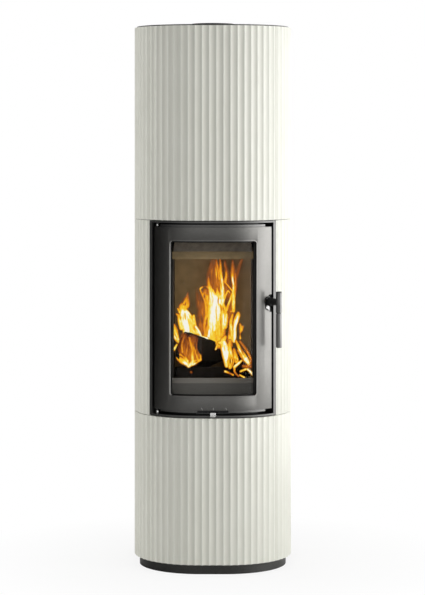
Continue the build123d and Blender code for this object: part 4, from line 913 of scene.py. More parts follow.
# %% Handle
EIGHT_SIDED = 1.0 / math.cos(math.radians(22.5))
HUB_RADIUS, HUB_LENGTH = 0.011, 0.0182
ARM_SCALE, ARM_PLACE = (0.50, 1.15, 1.0), (0.0, 0.0056, -0.0024)
ARM_STEPS = ((0.0005, 1.02, 1.02), (0.0045, 1.25, 1.06), (0.0035, 1.14, 0.98), (0.0030, 1.06, 0.95),
             (0.0030, 1.00, 0.92), (0.0035, 0.97, 0.93), (0.0045, 0.98, 1.00), (0.0040, 1.00, 1.05),
             (0.0040, 1.02, 1.16), (0.0035, 1.02, 1.16), (0.0030, 1.00, 1.14))
BAR_PLACE = (-0.0004, -0.0412)
SPLIT = -0.036
BARS = (("lever_sleeve", 0.0096, (SPLIT + 0.0008, 0.0274), (0.0008, 0.0006), LEVER_PAINT, "handle_lever"),
        ("lever_cap", 0.0092, (0.0270, 0.0310), (0.0001, 0.0010), ARM_PAINT, "handle_lever"),
        ("lever_neck", 0.0068, (SPLIT - 0.0010, SPLIT + 0.0010), (0.0001, 0.0001), ARM_PAINT, "handle_grip"),
        ("lever_grip", 0.0093, (-0.144, SPLIT - 0.0006), (0.0032, 0.0018), GRIP_PAINT, "handle_grip"))


def handle_arm():
    """Hub and arm as one run of extrusions along -y."""
    arm = add(bpy.ops.mesh.primitive_cylinder_add, "lever", vertices=8, radius=HUB_RADIUS * EIGHT_SIDED,
              depth=HUB_LENGTH, rotation=(0.0, 0.0, math.radians(22.5)))
    arm.rotation_euler = UPRIGHT
    arm.scale = ARM_SCALE
    arm.location = ARM_PLACE
    settle(arm)
    bevel(arm, at("y", ARM_PLACE[1] - HUB_LENGTH / 2), 0.0009)
    edit(arm, "FACE")
    pick(arm, lambda face: face.normal.y < -0.99, "faces")
    for out, wide, high in ARM_STEPS:
        push((0.0, -out, 0.0))
        bpy.ops.transform.resize(value=(wide, 1.0, high))
    done()
    return arm


def turned_bar(name, radius, height, rounds):
    """Turned bar in front of the door."""
    piece = add(bpy.ops.mesh.primitive_cylinder_add, name, vertices=64, radius=radius, depth=height[1] - height[0],
                location=(*BAR_PLACE, sum(height) / 2))
    for end, width in zip(height, rounds):
        bevel(piece, at("z", end), width, 3)
    return piece


lever = handle_arm()
soften(lever, 32.0)
finish_piece(stand_on_door(lever), "handle", ARM_PAINT, "handle_lever", slot="lever_paint")
for name, radius, height, rounds, paint, node in BARS:
    piece = turned_bar(name, radius, height, rounds)
    if name != "lever_neck":  # a thin ring that stays in facets
        soften(piece, 32.0)
    finish_piece(stand_on_door(piece), "handle", paint, node, slot="lever_paint")
print("lever", len(lever.data.vertices), "grip", [round(v, 4) for v in piece.dimensions])

# %% [markdown]
# Two pins carry the door at its left edge. Only a short bright collar of each shows between the
# door and the surround; the rest of each pin is painted dark, as shade.

# %% Hinge pins
PIN_PLACE = (-0.17339, -0.17597)
pins_low, pins_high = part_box("hinge_pins")
# The pins are painted dark as shade; only the collars are bright steel.
PINS = (("pin_lower", 0.0042, pins_low[2], 0.528, ARM_PAINT), ("pin_upper", 0.0042, 1.062, pins_high[2], ARM_PAINT),
        ("collar_lower", 0.0045, 0.4925, 0.5035, BRIGHT_STEEL), ("collar_upper", 0.0045, 1.0800, 1.0865, BRIGHT_STEEL))
for name, radius, low, high, finish in PINS:
    piece = add(bpy.ops.mesh.primitive_cylinder_add, name, vertices=40, radius=radius, depth=high - low,
                location=(*PIN_PLACE, (low + high) / 2))
    bevel(piece, lambda edge: near(edge.verts[0].co.z, edge.verts[1].co.z), 0.0004)
    soften(piece, 32.0)
    finish_piece(piece, "stove", finish, "hinge_pins", slot="bright_steel")

# %% [markdown]
# The air knob is a small block of bright steel with rounded corners and eased front edges.

# %% Air knob
knob_low, knob_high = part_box("air_knob")
knob = block("slider_knob", knob_low, knob_high)
bevel(knob, runs_along("y"), 0.002, 4)
bevel(knob, at("y", knob_low[1]), 0.0008, 3)
soften(knob, 32.0)
finish_piece(knob, "air_slider", BRIGHT_STEEL, "air_knob", slot="bright_steel")

# %% [markdown]
# Plinth, base sheet, top sheet and lid share the stove's outline, set in by different amounts. A
# filled circle gives the right number of corners; they move on to the outline, and the face is
# extruded upwards. The lid is a low turned disc with a rounded rim.

# %% Sheets and plinth
PLINTH_TOP, TILE_FOOT, TILE_TOP, TOP_FACE, LID_TOP = 0.027, 0.0305, 1.706, 1.7095, 1.7205
PLINTH_SET_IN, SHEET_SET_IN, SHEET_ROUND, PLINTH_WALL = 0.017, 0.008, 0.0006, 0.005
PLINTH_DEPTH, SHEET_DEPTH = 0.429, 0.436
LID_Y, LID_RADIUS, LID_HEIGHT, LID_MIDDLE, LID_HOLE, HOLE_MIDDLE = -0.011, 0.0685, 0.011, 1.715, 0.066, 1.708
LID_ROUND, LID_WALL, LID_HOLLOW = 0.0015, 0.003, 0.008


def outline(set_in, back, step=0.005):
    """Corners of the plan, set in all round the front and sides and flat at the back."""
    end = CORNER_END + back - CORNER_RADIUS
    count = max(8, round(2 * CORNER_END / step))
    runs = [-end] + [-CORNER_END + 2 * CORNER_END * n / count for n in range(count + 1)] + [end]
    return [on_plan(run, set_in) for run in runs]


def plan_sheet(name, set_in, back, low, high, wall=None):
    """Sheet with the stove's outline, or a ring of it where it has a wall."""
    corners = outline(set_in, back)
    piece = add(bpy.ops.mesh.primitive_circle_add, name, vertices=len(corners), radius=0.2, fill_type="NGON")
    for vertex, (x, y) in zip(piece.data.vertices, corners):
        vertex.co = (x, y, low)
    if wall:
        edit(piece, "FACE")
        everything()
        bpy.ops.mesh.inset(thickness=wall, use_boundary=True)
        bpy.ops.mesh.delete(type="FACE")
        done()
    thicken(piece, (0.0, 0.0, high - low))
    if not wall:
        bevel(piece, one_of(at("z", high), at("z", low)), SHEET_ROUND)
    soften(piece, 30.0)
    return piece


plinth = plan_sheet("plinth_ring", PLINTH_SET_IN, PLINTH_DEPTH, 0.0, PLINTH_TOP, wall=PLINTH_WALL)
finish_piece(plinth, "stove", PLINTH_PAINT, "plinth", slot="anthracite_frame")
base = plan_sheet("base_sheet", SHEET_SET_IN, SHEET_DEPTH, PLINTH_TOP, TILE_FOOT)
finish_piece(base, "stove", DARK_STEEL, "base_plate", slot="anthracite_frame")
top = plan_sheet("top_sheet", SHEET_SET_IN, SHEET_DEPTH, TILE_TOP, TOP_FACE)
combine(top, add(bpy.ops.mesh.primitive_cylinder_add, "hole", vertices=96, radius=LID_HOLE, depth=0.02,
                 location=(0.0, LID_Y, HOLE_MIDDLE)), "DIFFERENCE")
finish_piece(top, "stove", DARK_STEEL, "top_plate", slot="anthracite_frame")
lid = add(bpy.ops.mesh.primitive_cylinder_add, "sweeping_lid", vertices=96, radius=LID_RADIUS, depth=LID_HEIGHT,
          location=(0.0, LID_Y, LID_MIDDLE))
bevel(lid, at("z", LID_TOP), LID_ROUND, 3)
edit(lid, "FACE")
pick(lid, lambda face: face.normal.z < -0.99, "faces")
bpy.ops.mesh.inset(thickness=LID_WALL)
push((0.0, 0.0, -LID_HOLLOW))
done()
soften(lid, 30.0)
finish_piece(lid, "stove", DARK_STEEL, "top_lid", slot="anthracite_frame")

# %% [markdown]
# Split logs lie over a bed of charcoal. The big one is a bridge between its two ends: a circle of
# six corners for each, bridged with a dozen cuts and closed. The small ones are bars that grow by
# one extrusion after the other. Every vertex is nudged, so bark and splinters break the outline.
# The charcoal is a heap of small lumps, modelled once and copied with its own mesh each time.

# %% Logs and charcoal
PHOTO_MIDDLE, PHOTO_LEVEL, PHOTO_SCALE = 212.8, 130.5, 0.3226
CAMERA_REACH = 6.730
LOG_RINGS, LOG_ROUGH = 14, 0.003
CHAR = grained("charred_wood", (0.002, 0.002, 0.002), (0.012, 0.010, 0.009), 70.0, (0.75, 0.95), 0.8,
               distance=0.002, specular=0.12, detail=8.0)
chance = random.Random(11)


def glowing_material():
    """Charcoal with red heat in its cracks."""
    material, net, shader = new_material("glowing_coal")
    cracks = net.noise(net.vector(), 60.0, 6.0, 0.7)
    heat = net.ramp(cracks, (0.60, (0.0, 0.0, 0.0)), (0.68, (0.30, 0.04, 0.006)), (0.76, (0.8, 0.3, 0.05)),
                    (0.84, (1.0, 0.8, 0.4)))
    net.feed(shader, Base_Color=net.ramp(cracks, (0.4, (0.002, 0.002, 0.002)), (0.6, (0.02, 0.008, 0.004))),
             Roughness=0.9, Emission_Color=heat, Emission_Strength=1.0)
    net.bump(shader, cracks, 0.6, 0.002)
    return material


GLOW = glowing_material()


def photo_place(px, py, depth):
    """Where a point of the picture lies at a depth behind the face line, in metres."""
    size = (1.0 + depth / CAMERA_REACH) / PHOTO_SCALE / 1000.0
    return (px - PHOTO_MIDDLE) * size, FRONT_Y + depth, CAMERA_PLACE[2] - (py - PHOTO_LEVEL) * size


def split_log(name, start, end, section, seed):
    """Log from one end's middle to the other's, with a section given as corners (across, up)."""
    rng = random.Random(seed)
    length = math.dist(start, end)
    log = add(bpy.ops.mesh.primitive_circle_add, name, vertices=len(section), radius=0.05, fill_type="NGON")
    for vertex, (across, up) in zip(log.data.vertices, section):
        vertex.co = (across, up, 0.0)
    edit(log, "FACE")
    everything()
    for _ in range(LOG_RINGS):
        push((0.0, 0.0, length / LOG_RINGS))
    face_outwards()
    done()
    for vertex in log.data.vertices:
        for axis in range(3):
            vertex.co[axis] += rng.uniform(-LOG_ROUGH, LOG_ROUGH)
    bevel(log, sharper_than(35), 0.003)
    way = [b - a for a, b in zip(start, end)]
    log.rotation_euler = (math.atan2(math.hypot(way[0], way[1]), way[2]), 0.0, math.atan2(way[0], -way[1]))
    log.location = start
    settle(log)
    soften(log, 40.0)
    return log


# %% The logs lie on the embers
QUARTER = ((-0.044, -0.030), (-0.004, -0.052), (0.040, -0.030), (0.042, 0.036), (0.010, 0.046), (-0.026, 0.052))
NEAR_END = ((184.1, 332.1), (202.4, 337.6), (201.4, 360.7), (188.9, 368.0), (176.0, 357.0), (175.6, 349.3))
FAR_END = ((201.0, 335.5), (219.3, 342.0), (223.5, 360.0), (208.0, 367.0), (196.0, 358.0), (194.0, 346.0))
NEAR_DEPTH, FAR_DEPTH = 0.152, 0.300
BIG_LOG_ROUGH, BIG_LOG_EASE, BRIDGE_CUTS = 0.0018, 0.02, 12
SMALL_LOGS = (("right_log", (245.0, 374.0, 0.150), (224.0, 349.0, 0.29), (0.52, 0.40), 5),
              ("under_log", (176.0, 373.0, 0.17), (240.0, 374.0, 0.21), (0.55, 0.42), 8))
rings = []
for name, depth, places in (("near_end", NEAR_DEPTH, NEAR_END), ("far_end", FAR_DEPTH, FAR_END)):
    ring = add(bpy.ops.mesh.primitive_circle_add, name, vertices=len(places), radius=0.05)
    for vertex, place in zip(ring.data.vertices, places):
        vertex.co = photo_place(*place, depth)
    rings.append(ring)
big_log = join(rings, "big_log")
edit(big_log)
everything()
bpy.ops.mesh.bridge_edge_loops(number_cuts=BRIDGE_CUTS)
everything()
bpy.ops.mesh.fill_holes(sides=0)
face_outwards()
done()
for vertex in big_log.data.vertices:
    away = min(1.0, abs(vertex.co.y - FRONT_Y - NEAR_DEPTH) / BIG_LOG_EASE)
    for axis in range(3):
        vertex.co[axis] += away * chance.uniform(-BIG_LOG_ROUGH, BIG_LOG_ROUGH)
bevel(big_log, sharper_than(30), 0.002)
soften(big_log, 40.0)
print("big log", len(big_log.data.polygons))
finish_piece(big_log, "stove", CHAR)
for name, start, end, (wide, high), seed in SMALL_LOGS:
    section = tuple((x * wide, y * high) for x, y in QUARTER)
    finish_piece(split_log(name, photo_place(*start), photo_place(*end), section, seed), "stove", CHAR)

# %% Bed of charcoal and embers
LUMP_COUNT, COAL_COUNT, LUMP_SIZE = 70, 50, (0.018, 0.036)
BED_RUN, BED_DEPTH, BED_HEIGHT, BED_FLOOR, BED_ROUGH = 0.108, (0.118, 0.33), 0.545, 0.5452, 0.0012
PILE_HEIGHT, PILE_MIDDLE, PILE_WIDTH, PILE_LEAST = 0.020, 0.05, 0.07, 0.012
lump_pattern = add(bpy.ops.mesh.primitive_ico_sphere_add, "lump", subdivisions=2, radius=0.5)
lumps = []
for number in range(LUMP_COUNT):
    lump = lump_pattern.copy()
    lump.data = lump_pattern.data.copy()
    scene.collection.objects.link(lump)
    size = chance.uniform(*LUMP_SIZE)
    lump.scale = (size * chance.uniform(0.8, 1.3), size * chance.uniform(0.8, 1.3), size * chance.uniform(0.5, 0.8))
    lump.rotation_euler = [chance.uniform(0, 3.1) for _ in range(3)]
    x = chance.uniform(-BED_RUN, BED_RUN)
    y = FRONT_Y + chance.uniform(*BED_DEPTH)
    pile = PILE_HEIGHT * math.exp(-((x - PILE_MIDDLE) / PILE_WIDTH) ** 2) + PILE_LEAST
    lump.location = (x, y, BED_HEIGHT + chance.uniform(0.004, 0.014) + chance.uniform(0.0, pile))
    lumps.append(lump)
bpy.data.objects.remove(lump_pattern, do_unlink=True)
for group, share, material in (("charcoal", lumps[:COAL_COUNT], CHAR), ("embers", lumps[COAL_COUNT:], GLOW)):
    heap = settle(join(share, group))
    for vertex in heap.data.vertices:
        vertex.co.z = max(vertex.co.z + chance.uniform(-BED_ROUGH, BED_ROUGH), BED_FLOOR)
    finish_piece(heap, "stove", material)

# %% [markdown]
# A flame is a thin sheet of light, and a fire is a few of them, one behind the other. Each sheet
# here is a fine grid that is painted with heat. A stroke of heat follows a path with a width and a
# strength at each of its points, and every wide stroke gets some hair-thin streaks beside its
# middle, brighter or darker, as fire has. The heat is stored on the mesh. The finish turns it into
# colour: red-brown where it is faint, then orange, yellow and white. Cells without heat are
# deleted, so the outline of a sheet is the outline of its flames.

# %% Flames
CELL = 0.5
SHEET_MARGIN = 1.0
STROKE_REACH = 1.4
FAINTEST = 0.015
STROKE_STEP = 0.6
STREAK_WIDTH, STREAK_LEAST, STREAK_SHARE, STREAK_FINENESS = 0.95, 1.1, 1.6, 1.6


def flame_material():
    """Fire by the heat painted on a sheet."""
    material, net, shader = new_material("flame")
    net.nodes.remove(shader)
    heat = net.add("Attribute")
    heat.attribute_name = "warmth"
    streaks = net.noise(net.vector((1.0, 1.0, 0.25)), 300.0, 4.0, 0.6)
    body = net.math("MULTIPLY", heat.outputs["Fac"], net.spread(streaks, 0.80, 1.16))
    colour = net.ramp(body, (0.05, (0.20, 0.050, 0.016)), (0.20, (0.42, 0.10, 0.018)),
                      (0.36, (0.72, 0.215, 0.016)), (0.52, (0.93, 0.42, 0.014)), (0.68, (1.0, 0.67, 0.035)),
                      (0.82, (1.0, 0.88, 0.22)), (0.96, (1.0, 0.99, 0.92)))
    share = net.ramp(body, (0.02, (0, 0, 0)), (0.20, (0.55, 0.55, 0.55)), (0.42, (0.97, 0.97, 0.97)))
    net.surface(share, net.add("BsdfTransparent"), net.add("Emission", Color=colour))
    return material


FLAME = flame_material()


def dab(field, left, top, place, radius, strength, power, more=False):
    """One round touch of heat on a field of cells."""
    x, y = place
    reach = int(radius / CELL) + 1
    ci, cj = round((x - left) / CELL), round((y - top) / CELL)
    for j in range(max(0, cj - reach), min(len(field), cj + reach + 1)):
        row = field[j]
        for i in range(max(0, ci - reach), min(len(row), ci + reach + 1)):
            far = ((left + i * CELL - x) ** 2 + (top + j * CELL - y) ** 2) / radius ** 2
            if far < 1.0:
                touch = strength * (1.0 - far) ** power
                row[i] = row[i] + touch if more else max(row[i], touch)


def along_path(path, share):
    """Place, width and strength at a share of a path, smoothly between its points."""
    last = len(path) - 1
    part = share * last
    k = min(int(part), last - 1)
    t = part - k
    a, b, c, d = path[max(k - 1, 0)], path[k], path[k + 1], path[min(k + 2, last)]
    curve = [0.5 * (2 * q + (r - p) * t + (2 * p - 5 * q + 4 * r - s) * t * t + (3 * q - p - 3 * r + s) * t ** 3)
             for p, q, r, s in zip(a[:2], b[:2], c[:2], d[:2])]
    return curve[0], curve[1], b[2] + (c[2] - b[2]) * t, b[3] + (c[3] - b[3]) * t


def stroke(field, left, top, path, rng):
    """Stroke of heat along a path, with streaks."""
    length = sum(math.dist(a[:2], b[:2]) for a, b in zip(path, path[1:]))
    steps = max(2, int(length / STROKE_STEP))
    for n in range(steps + 1):
        x, y, width, strength = along_path(path, n / steps)
        faint = max(0.0, 1.0 - 1.4 * strength)
        dab(field, left, top, (x, y), (1.3 + 0.5 * faint) * width + 0.25, strength, 0.55 + 1.1 * faint)
    widest = max(point[2] for point in path)
    for _ in range(int(STREAK_SHARE * widest) if widest > STREAK_LEAST else 0):
        side, start = rng.uniform(-0.95, 0.95), rng.uniform(0.0, 0.5)
        end, gain, phase = start + rng.uniform(0.3, 0.5), rng.choice((-0.20, -0.12, 0.10, 0.16)), rng.uniform(0, 6.3)
        for n in range(int(start * steps * STREAK_FINENESS), int(min(1.0, end) * steps * STREAK_FINENESS)):
            share = n / (steps * STREAK_FINENESS)
            x, y, width, strength = along_path(path, share)
            x2, y2, _, _ = along_path(path, min(1.0, share + 0.02))
            way = math.hypot(x2 - x, y2 - y) or 1.0
            off = side * width + 0.35 * math.sin(phase + 9.0 * share)
            fade = math.sin(math.pi * (share - start) / (end - start))
            beside = (x - off * (y2 - y) / way, y + off * (x2 - x) / way)
            dab(field, left, top, beside, STREAK_WIDTH, gain * fade * strength, 1.0, more=True)


def flame_sheet(name, depth, paths, seed):
    """Sheet of fire at a depth, painted with strokes."""
    rng = random.Random(seed)
    points = [point for path in paths for point in path]
    left = min(p[0] - STROKE_REACH * p[2] for p in points) - SHEET_MARGIN
    right = max(p[0] + STROKE_REACH * p[2] for p in points) + SHEET_MARGIN
    top = min(p[1] - STROKE_REACH * p[2] for p in points) - SHEET_MARGIN
    bottom = max(p[1] + STROKE_REACH * p[2] for p in points) + SHEET_MARGIN
    across, down = int((right - left) / CELL) + 1, int((bottom - top) / CELL) + 1
    field = [[0.0] * (across + 1) for _ in range(down + 1)]
    for path in paths:
        stroke(field, left, top, path, rng)
    sheet = add(bpy.ops.mesh.primitive_grid_add, name, x_subdivisions=across, y_subdivisions=down, size=1.0,
                rotation=UPRIGHT)
    mesh = sheet.data
    heat = mesh.attributes.new("warmth", "FLOAT", "POINT")
    values = []
    for vertex in mesh.vertices:
        i, j = round((vertex.co.x + 0.5) * across), round((0.5 - vertex.co.z) * down)
        values.append(max(0.0, field[j][i]))
        px, py = left + i * CELL, top + j * CELL
        wave = 0.006 * math.sin(0.16 * px + seed) + 0.005 * math.sin(0.11 * py + 0.07 * px)
        vertex.co = photo_place(px, py, depth + wave)
    heat.data.foreach_set("value", values)
    edit(sheet, "FACE")
    pick(sheet, lambda face: max(values[v.index] for v in face.verts) < FAINTEST, "faces")
    bpy.ops.mesh.delete(type="FACE")
    done()
    soften(sheet, 80.0)
    print(name, "faces", len(mesh.polygons))
    return finish_piece(sheet, "stove", FLAME)


# %% The strokes of the fire, as across, down, width and heat
VEILS = (
    ((211.6, 290, 4.5, 0.30), (210.5, 276, 3.4, 0.25), (212.2, 265, 2.4, 0.19), (213.4, 257, 0.9, 0.10)),
    ((217.5, 290, 5.0, 0.34), (217.0, 275, 4.2, 0.32), (216.0, 265, 2.2, 0.24), (215.0, 259, 0.7, 0.12)),
    ((225.5, 292, 4.0, 0.32), (226.0, 276, 3.0, 0.28), (225.5, 266, 1.5, 0.20), (225.0, 260, 0.6, 0.10)),
    ((233.5, 290, 3.0, 0.30), (234.0, 276, 2.6, 0.26), (233.0, 266, 1.5, 0.20), (232.6, 259, 0.6, 0.10)),
    ((235.5, 280, 1.6, 0.20), (238.0, 269, 2.0, 0.17), (240.5, 261, 2.2, 0.15), (243.0, 256, 1.6, 0.08)),
    ((201.0, 306, 4.0, 0.26), (198.5, 297, 2.6, 0.18), (196.8, 288, 1.0, 0.08)),
    ((203.5, 330, 4.0, 0.34), (202.0, 318, 4.2, 0.30), (203.5, 305, 3.4, 0.30)),
    ((230.0, 320, 4.0, 0.26), (230.0, 306, 3.6, 0.28), (229.5, 294, 3.0, 0.28)),
)
MAIN = (
    ((219.0, 343, 4.5, 0.64), (219.5, 330, 5.0, 0.68), (219.5, 318, 5.2, 0.78), (219.1, 306.5, 4.4, 0.80),
     (218.5, 298, 3.2, 0.78), (217.4, 291.6, 1.3, 0.60), (217.0, 287, 0.5, 0.35)),
    ((212.5, 343, 4.5, 0.68), (212.0, 330, 4.4, 0.74), (211.5, 318, 4.4, 0.80), (212.0, 306, 4.0, 0.80),
     (212.0, 298, 3.0, 0.78), (210.5, 290, 1.8, 0.66), (208.7, 283, 1.3, 0.46), (208.6, 277, 0.5, 0.28)),
    ((214.4, 330, 1.8, 0.92), (214.0, 318, 2.8, 1.04), (214.6, 306.5, 2.7, 1.06), (215.1, 299, 2.0, 0.98),
     (213.9, 294, 1.2, 0.82), (212.8, 289.5, 0.6, 0.6)),
    ((218.0, 320, 1.6, 0.90), (218.8, 309, 2.2, 0.98), (218.5, 301, 1.7, 0.92), (220.5, 296, 1.0, 0.85)),
    ((208.2, 339, 1.3, 1.06), (209.3, 331, 1.1, 1.02), (209.9, 323.5, 0.9, 0.90), (210.8, 315, 0.7, 0.84)),
    ((222.0, 304, 1.9, 0.90), (222.5, 296, 1.8, 0.90), (222.2, 288, 1.7, 0.82), (221.4, 280, 1.5, 0.72),
     (220.5, 271, 1.2, 0.60), (220.5, 265, 0.9, 0.46), (219.8, 257, 0.4, 0.20)),
    ((219.4, 279, 1.2, 0.50), (217.6, 268, 0.9, 0.42), (216.5, 259, 0.4, 0.20)),
    ((225.2, 282, 1.4, 0.54), (226.3, 274, 1.0, 0.50), (225.0, 267, 0.7, 0.35), (224.5, 262, 0.4, 0.18)),
    ((225.0, 327, 1.8, 0.70), (225.2, 318, 2.6, 0.74), (223.6, 309, 2.2, 0.76), (222.0, 303, 1.6, 0.80)),
    ((223.1, 329, 0.6, 0.88), (225.4, 321, 0.7, 0.94), (226.7, 314, 0.6, 0.85)),
    ((233.4, 311, 1.3, 0.70), (233.4, 301, 1.5, 0.86), (233.4, 293, 1.3, 0.72), (233.7, 286, 1.2, 0.58),
     (232.6, 279.6, 1.1, 0.60), (232.4, 274, 1.6, 0.46), (232.6, 268, 1.3, 0.34), (232.6, 261, 0.5, 0.18)),
    ((234.9, 297, 0.6, 0.50), (235.6, 283, 0.7, 0.40), (235.2, 274, 0.8, 0.34)),
    ((224.8, 281.9, 0.6, 0.55), (228.3, 286, 0.6, 0.62), (232.3, 291, 0.6, 0.64)),
    ((223.4, 302, 0.8, 0.72), (225.6, 295.6, 0.8, 0.66), (228.0, 291, 0.8, 0.64), (229.9, 293, 0.5, 0.52)),
    ((226.4, 310, 1.3, 0.66), (229.1, 303, 0.9, 0.60), (231.1, 297.4, 0.8, 0.56), (232.6, 292, 0.7, 0.5)),
    ((206.6, 313, 1.6, 0.60), (205.3, 302, 1.1, 0.52), (202.4, 295, 0.9, 0.48), (200.1, 289.3, 0.6, 0.38),
     (202.4, 287.2, 0.6, 0.48), (205.6, 287.0, 0.7, 0.60), (209.3, 289.3, 1.3, 0.74), (211.6, 294, 2.0, 0.80)),
    ((205.3, 291, 2.2, 0.36), (206.2, 297, 2.8, 0.46), (208.2, 303, 2.6, 0.58)),
    ((205.5, 338, 2.2, 0.56), (205.2, 326, 2.0, 0.52), (206.8, 316, 2.0, 0.62)),
)
SIDES = (
    ((182.8, 307, 3.2, 0.66), (185.2, 305, 3.6, 0.62), (186.2, 301, 2.6, 0.52), (187.2, 297, 1.3, 0.36),
     (187.8, 292.5, 0.5, 0.14)),
    ((187.0, 333, 3.2, 0.95), (186.8, 328, 3.6, 1.04), (185.0, 321, 4.0, 1.08), (184.0, 315, 3.6, 1.04),
     (183.2, 311, 2.8, 0.88), (181.8, 308.5, 2.0, 0.72)),
    ((181.6, 328, 1.8, 0.82), (179.6, 321, 1.5, 0.76), (178.6, 316, 1.0, 0.66), (176.4, 314, 0.5, 0.45)),
    ((179.8, 312.5, 0.9, 0.74), (177.7, 308.6, 0.5, 0.6)),
    ((192.5, 334, 3.0, 0.78), (191.6, 326, 3.2, 0.76), (190.4, 319, 2.6, 0.80), (187.6, 313, 1.5, 0.84),
     (186.0, 310, 0.9, 0.72)),
    ((198.0, 335, 2.4, 0.86), (195.4, 329, 2.0, 0.80), (193.8, 321, 1.6, 0.78), (193.8, 315.5, 0.8, 0.74)),
    ((184.5, 331.5, 1.2, 0.95), (192.0, 333.5, 1.2, 0.94), (199.0, 336.2, 1.2, 1.0), (207.5, 338.6, 1.2, 0.95)),
    ((196.0, 326.8, 0.9, 1.0), (199.0, 331.5, 1.0, 1.02), (200.8, 335.4, 0.9, 0.96)),
    ((178.6, 342.4, 0.8, 0.70), (176.4, 337.5, 2.2, 0.76), (174.6, 331, 2.7, 0.70), (174.0, 325.5, 1.4, 0.50)),
    ((178.6, 339.5, 0.6, 0.96), (176.6, 335.0, 0.7, 0.88), (174.8, 330.5, 0.6, 0.80)),
    ((177.0, 344.5, 0.5, 0.70), (174.5, 348.6, 1.0, 0.92), (172.4, 351.5, 0.8, 0.30)),
    ((232.4, 340, 1.8, 0.66), (231.7, 331, 1.9, 0.76), (231.0, 322, 1.4, 0.66), (232.6, 314.5, 0.8, 0.52)),
    ((234.0, 342, 0.7, 0.86), (234.6, 336.7, 1.5, 1.04), (234.7, 327, 1.5, 1.0), (236.2, 320.6, 2.1, 0.84),
     (238.0, 315.4, 1.8, 0.74), (238.3, 312.5, 0.8, 0.45)),
    ((240.3, 338.4, 0.7, 0.72), (240.4, 334, 0.6, 0.40), (240.9, 329.2, 1.5, 0.72), (240.0, 324.0, 0.7, 0.42)),
    ((242.4, 330.0, 0.6, 0.40), (242.8, 326.5, 0.6, 0.55)),
    ((229.6, 345, 2.4, 0.62), (229.8, 337, 1.8, 0.50), (230.6, 326, 1.2, 0.36)),
    ((231.0, 311.6, 0.7, 0.55), (231.6, 308.8, 0.4, 0.3)),
)
FRONT = (
    ((226.6, 366, 1.3, 0.80), (226.0, 356, 3.0, 0.90), (224.8, 348, 3.4, 0.90), (223.0, 341.5, 2.4, 0.78),
     (225.4, 337, 1.4, 0.55)),
    ((226.2, 362.5, 0.9, 1.04), (226.2, 355.6, 2.0, 1.10), (225.4, 348.7, 2.3, 1.10), (224.2, 342.4, 1.5, 1.02)),
    ((230.0, 367.6, 1.2, 0.70), (231.2, 361.4, 2.5, 0.80), (230.0, 353.3, 2.2, 0.80), (229.4, 346.4, 1.5, 0.66),
     (230.0, 340.6, 1.2, 0.5)),
    ((234.4, 367.0, 1.1, 0.90), (238.6, 363.3, 1.0, 0.98), (241.6, 360.6, 0.6, 0.80)),
    ((236.5, 361.0, 2.0, 0.62), (235.4, 356.0, 1.9, 0.60), (234.0, 349.3, 1.0, 0.46)),
    ((235.8, 340.8, 0.8, 0.60), (239.2, 347.6, 1.3, 0.70), (242.6, 353.3, 1.5, 0.82), (246.1, 359.6, 1.9, 1.10),
     (248.6, 363.4, 1.3, 0.85)),
    ((238.6, 350.5, 1.2, 0.50), (241.6, 356.5, 1.0, 0.46), (244.0, 361.0, 0.7, 0.35)),
    ((240.0, 341.5, 0.9, 0.34), (245.5, 348.7, 1.2, 0.36), (250.1, 357.5, 1.0, 0.40), (250.8, 364.0, 0.7, 0.25)),
    ((217.9, 343.4, 0.7, 0.56), (215.8, 349.2, 0.6, 0.88)),
    ((219.0, 342.5, 1.2, 0.66), (222.2, 343.5, 1.6, 0.78)),
    ((225.2, 371.4, 0.8, 0.92), (230.0, 373.4, 0.7, 0.34), (233.0, 375.0, 0.6, 0.72)),
    ((234.4, 368.5, 0.8, 0.62), (234.9, 372.3, 0.7, 0.42), (238.6, 376.3, 0.6, 0.34)),
    ((239.8, 375.0, 0.5, 0.72), (244.4, 377.6, 0.6, 0.86)),
    ((240.6, 371.4, 0.7, 0.74), (245.5, 369.3, 0.8, 0.90)),
    ((247.4, 369.2, 0.7, 0.95), (250.4, 371.8, 0.9, 1.08), (252.9, 375.4, 0.6, 0.95)),
    ((243.5, 366.2, 1.3, 0.32), (250.4, 366.6, 1.4, 0.30)),
    ((191.0, 372.0, 0.8, 0.30), (191.4, 372.4, 0.8, 0.30)),
)
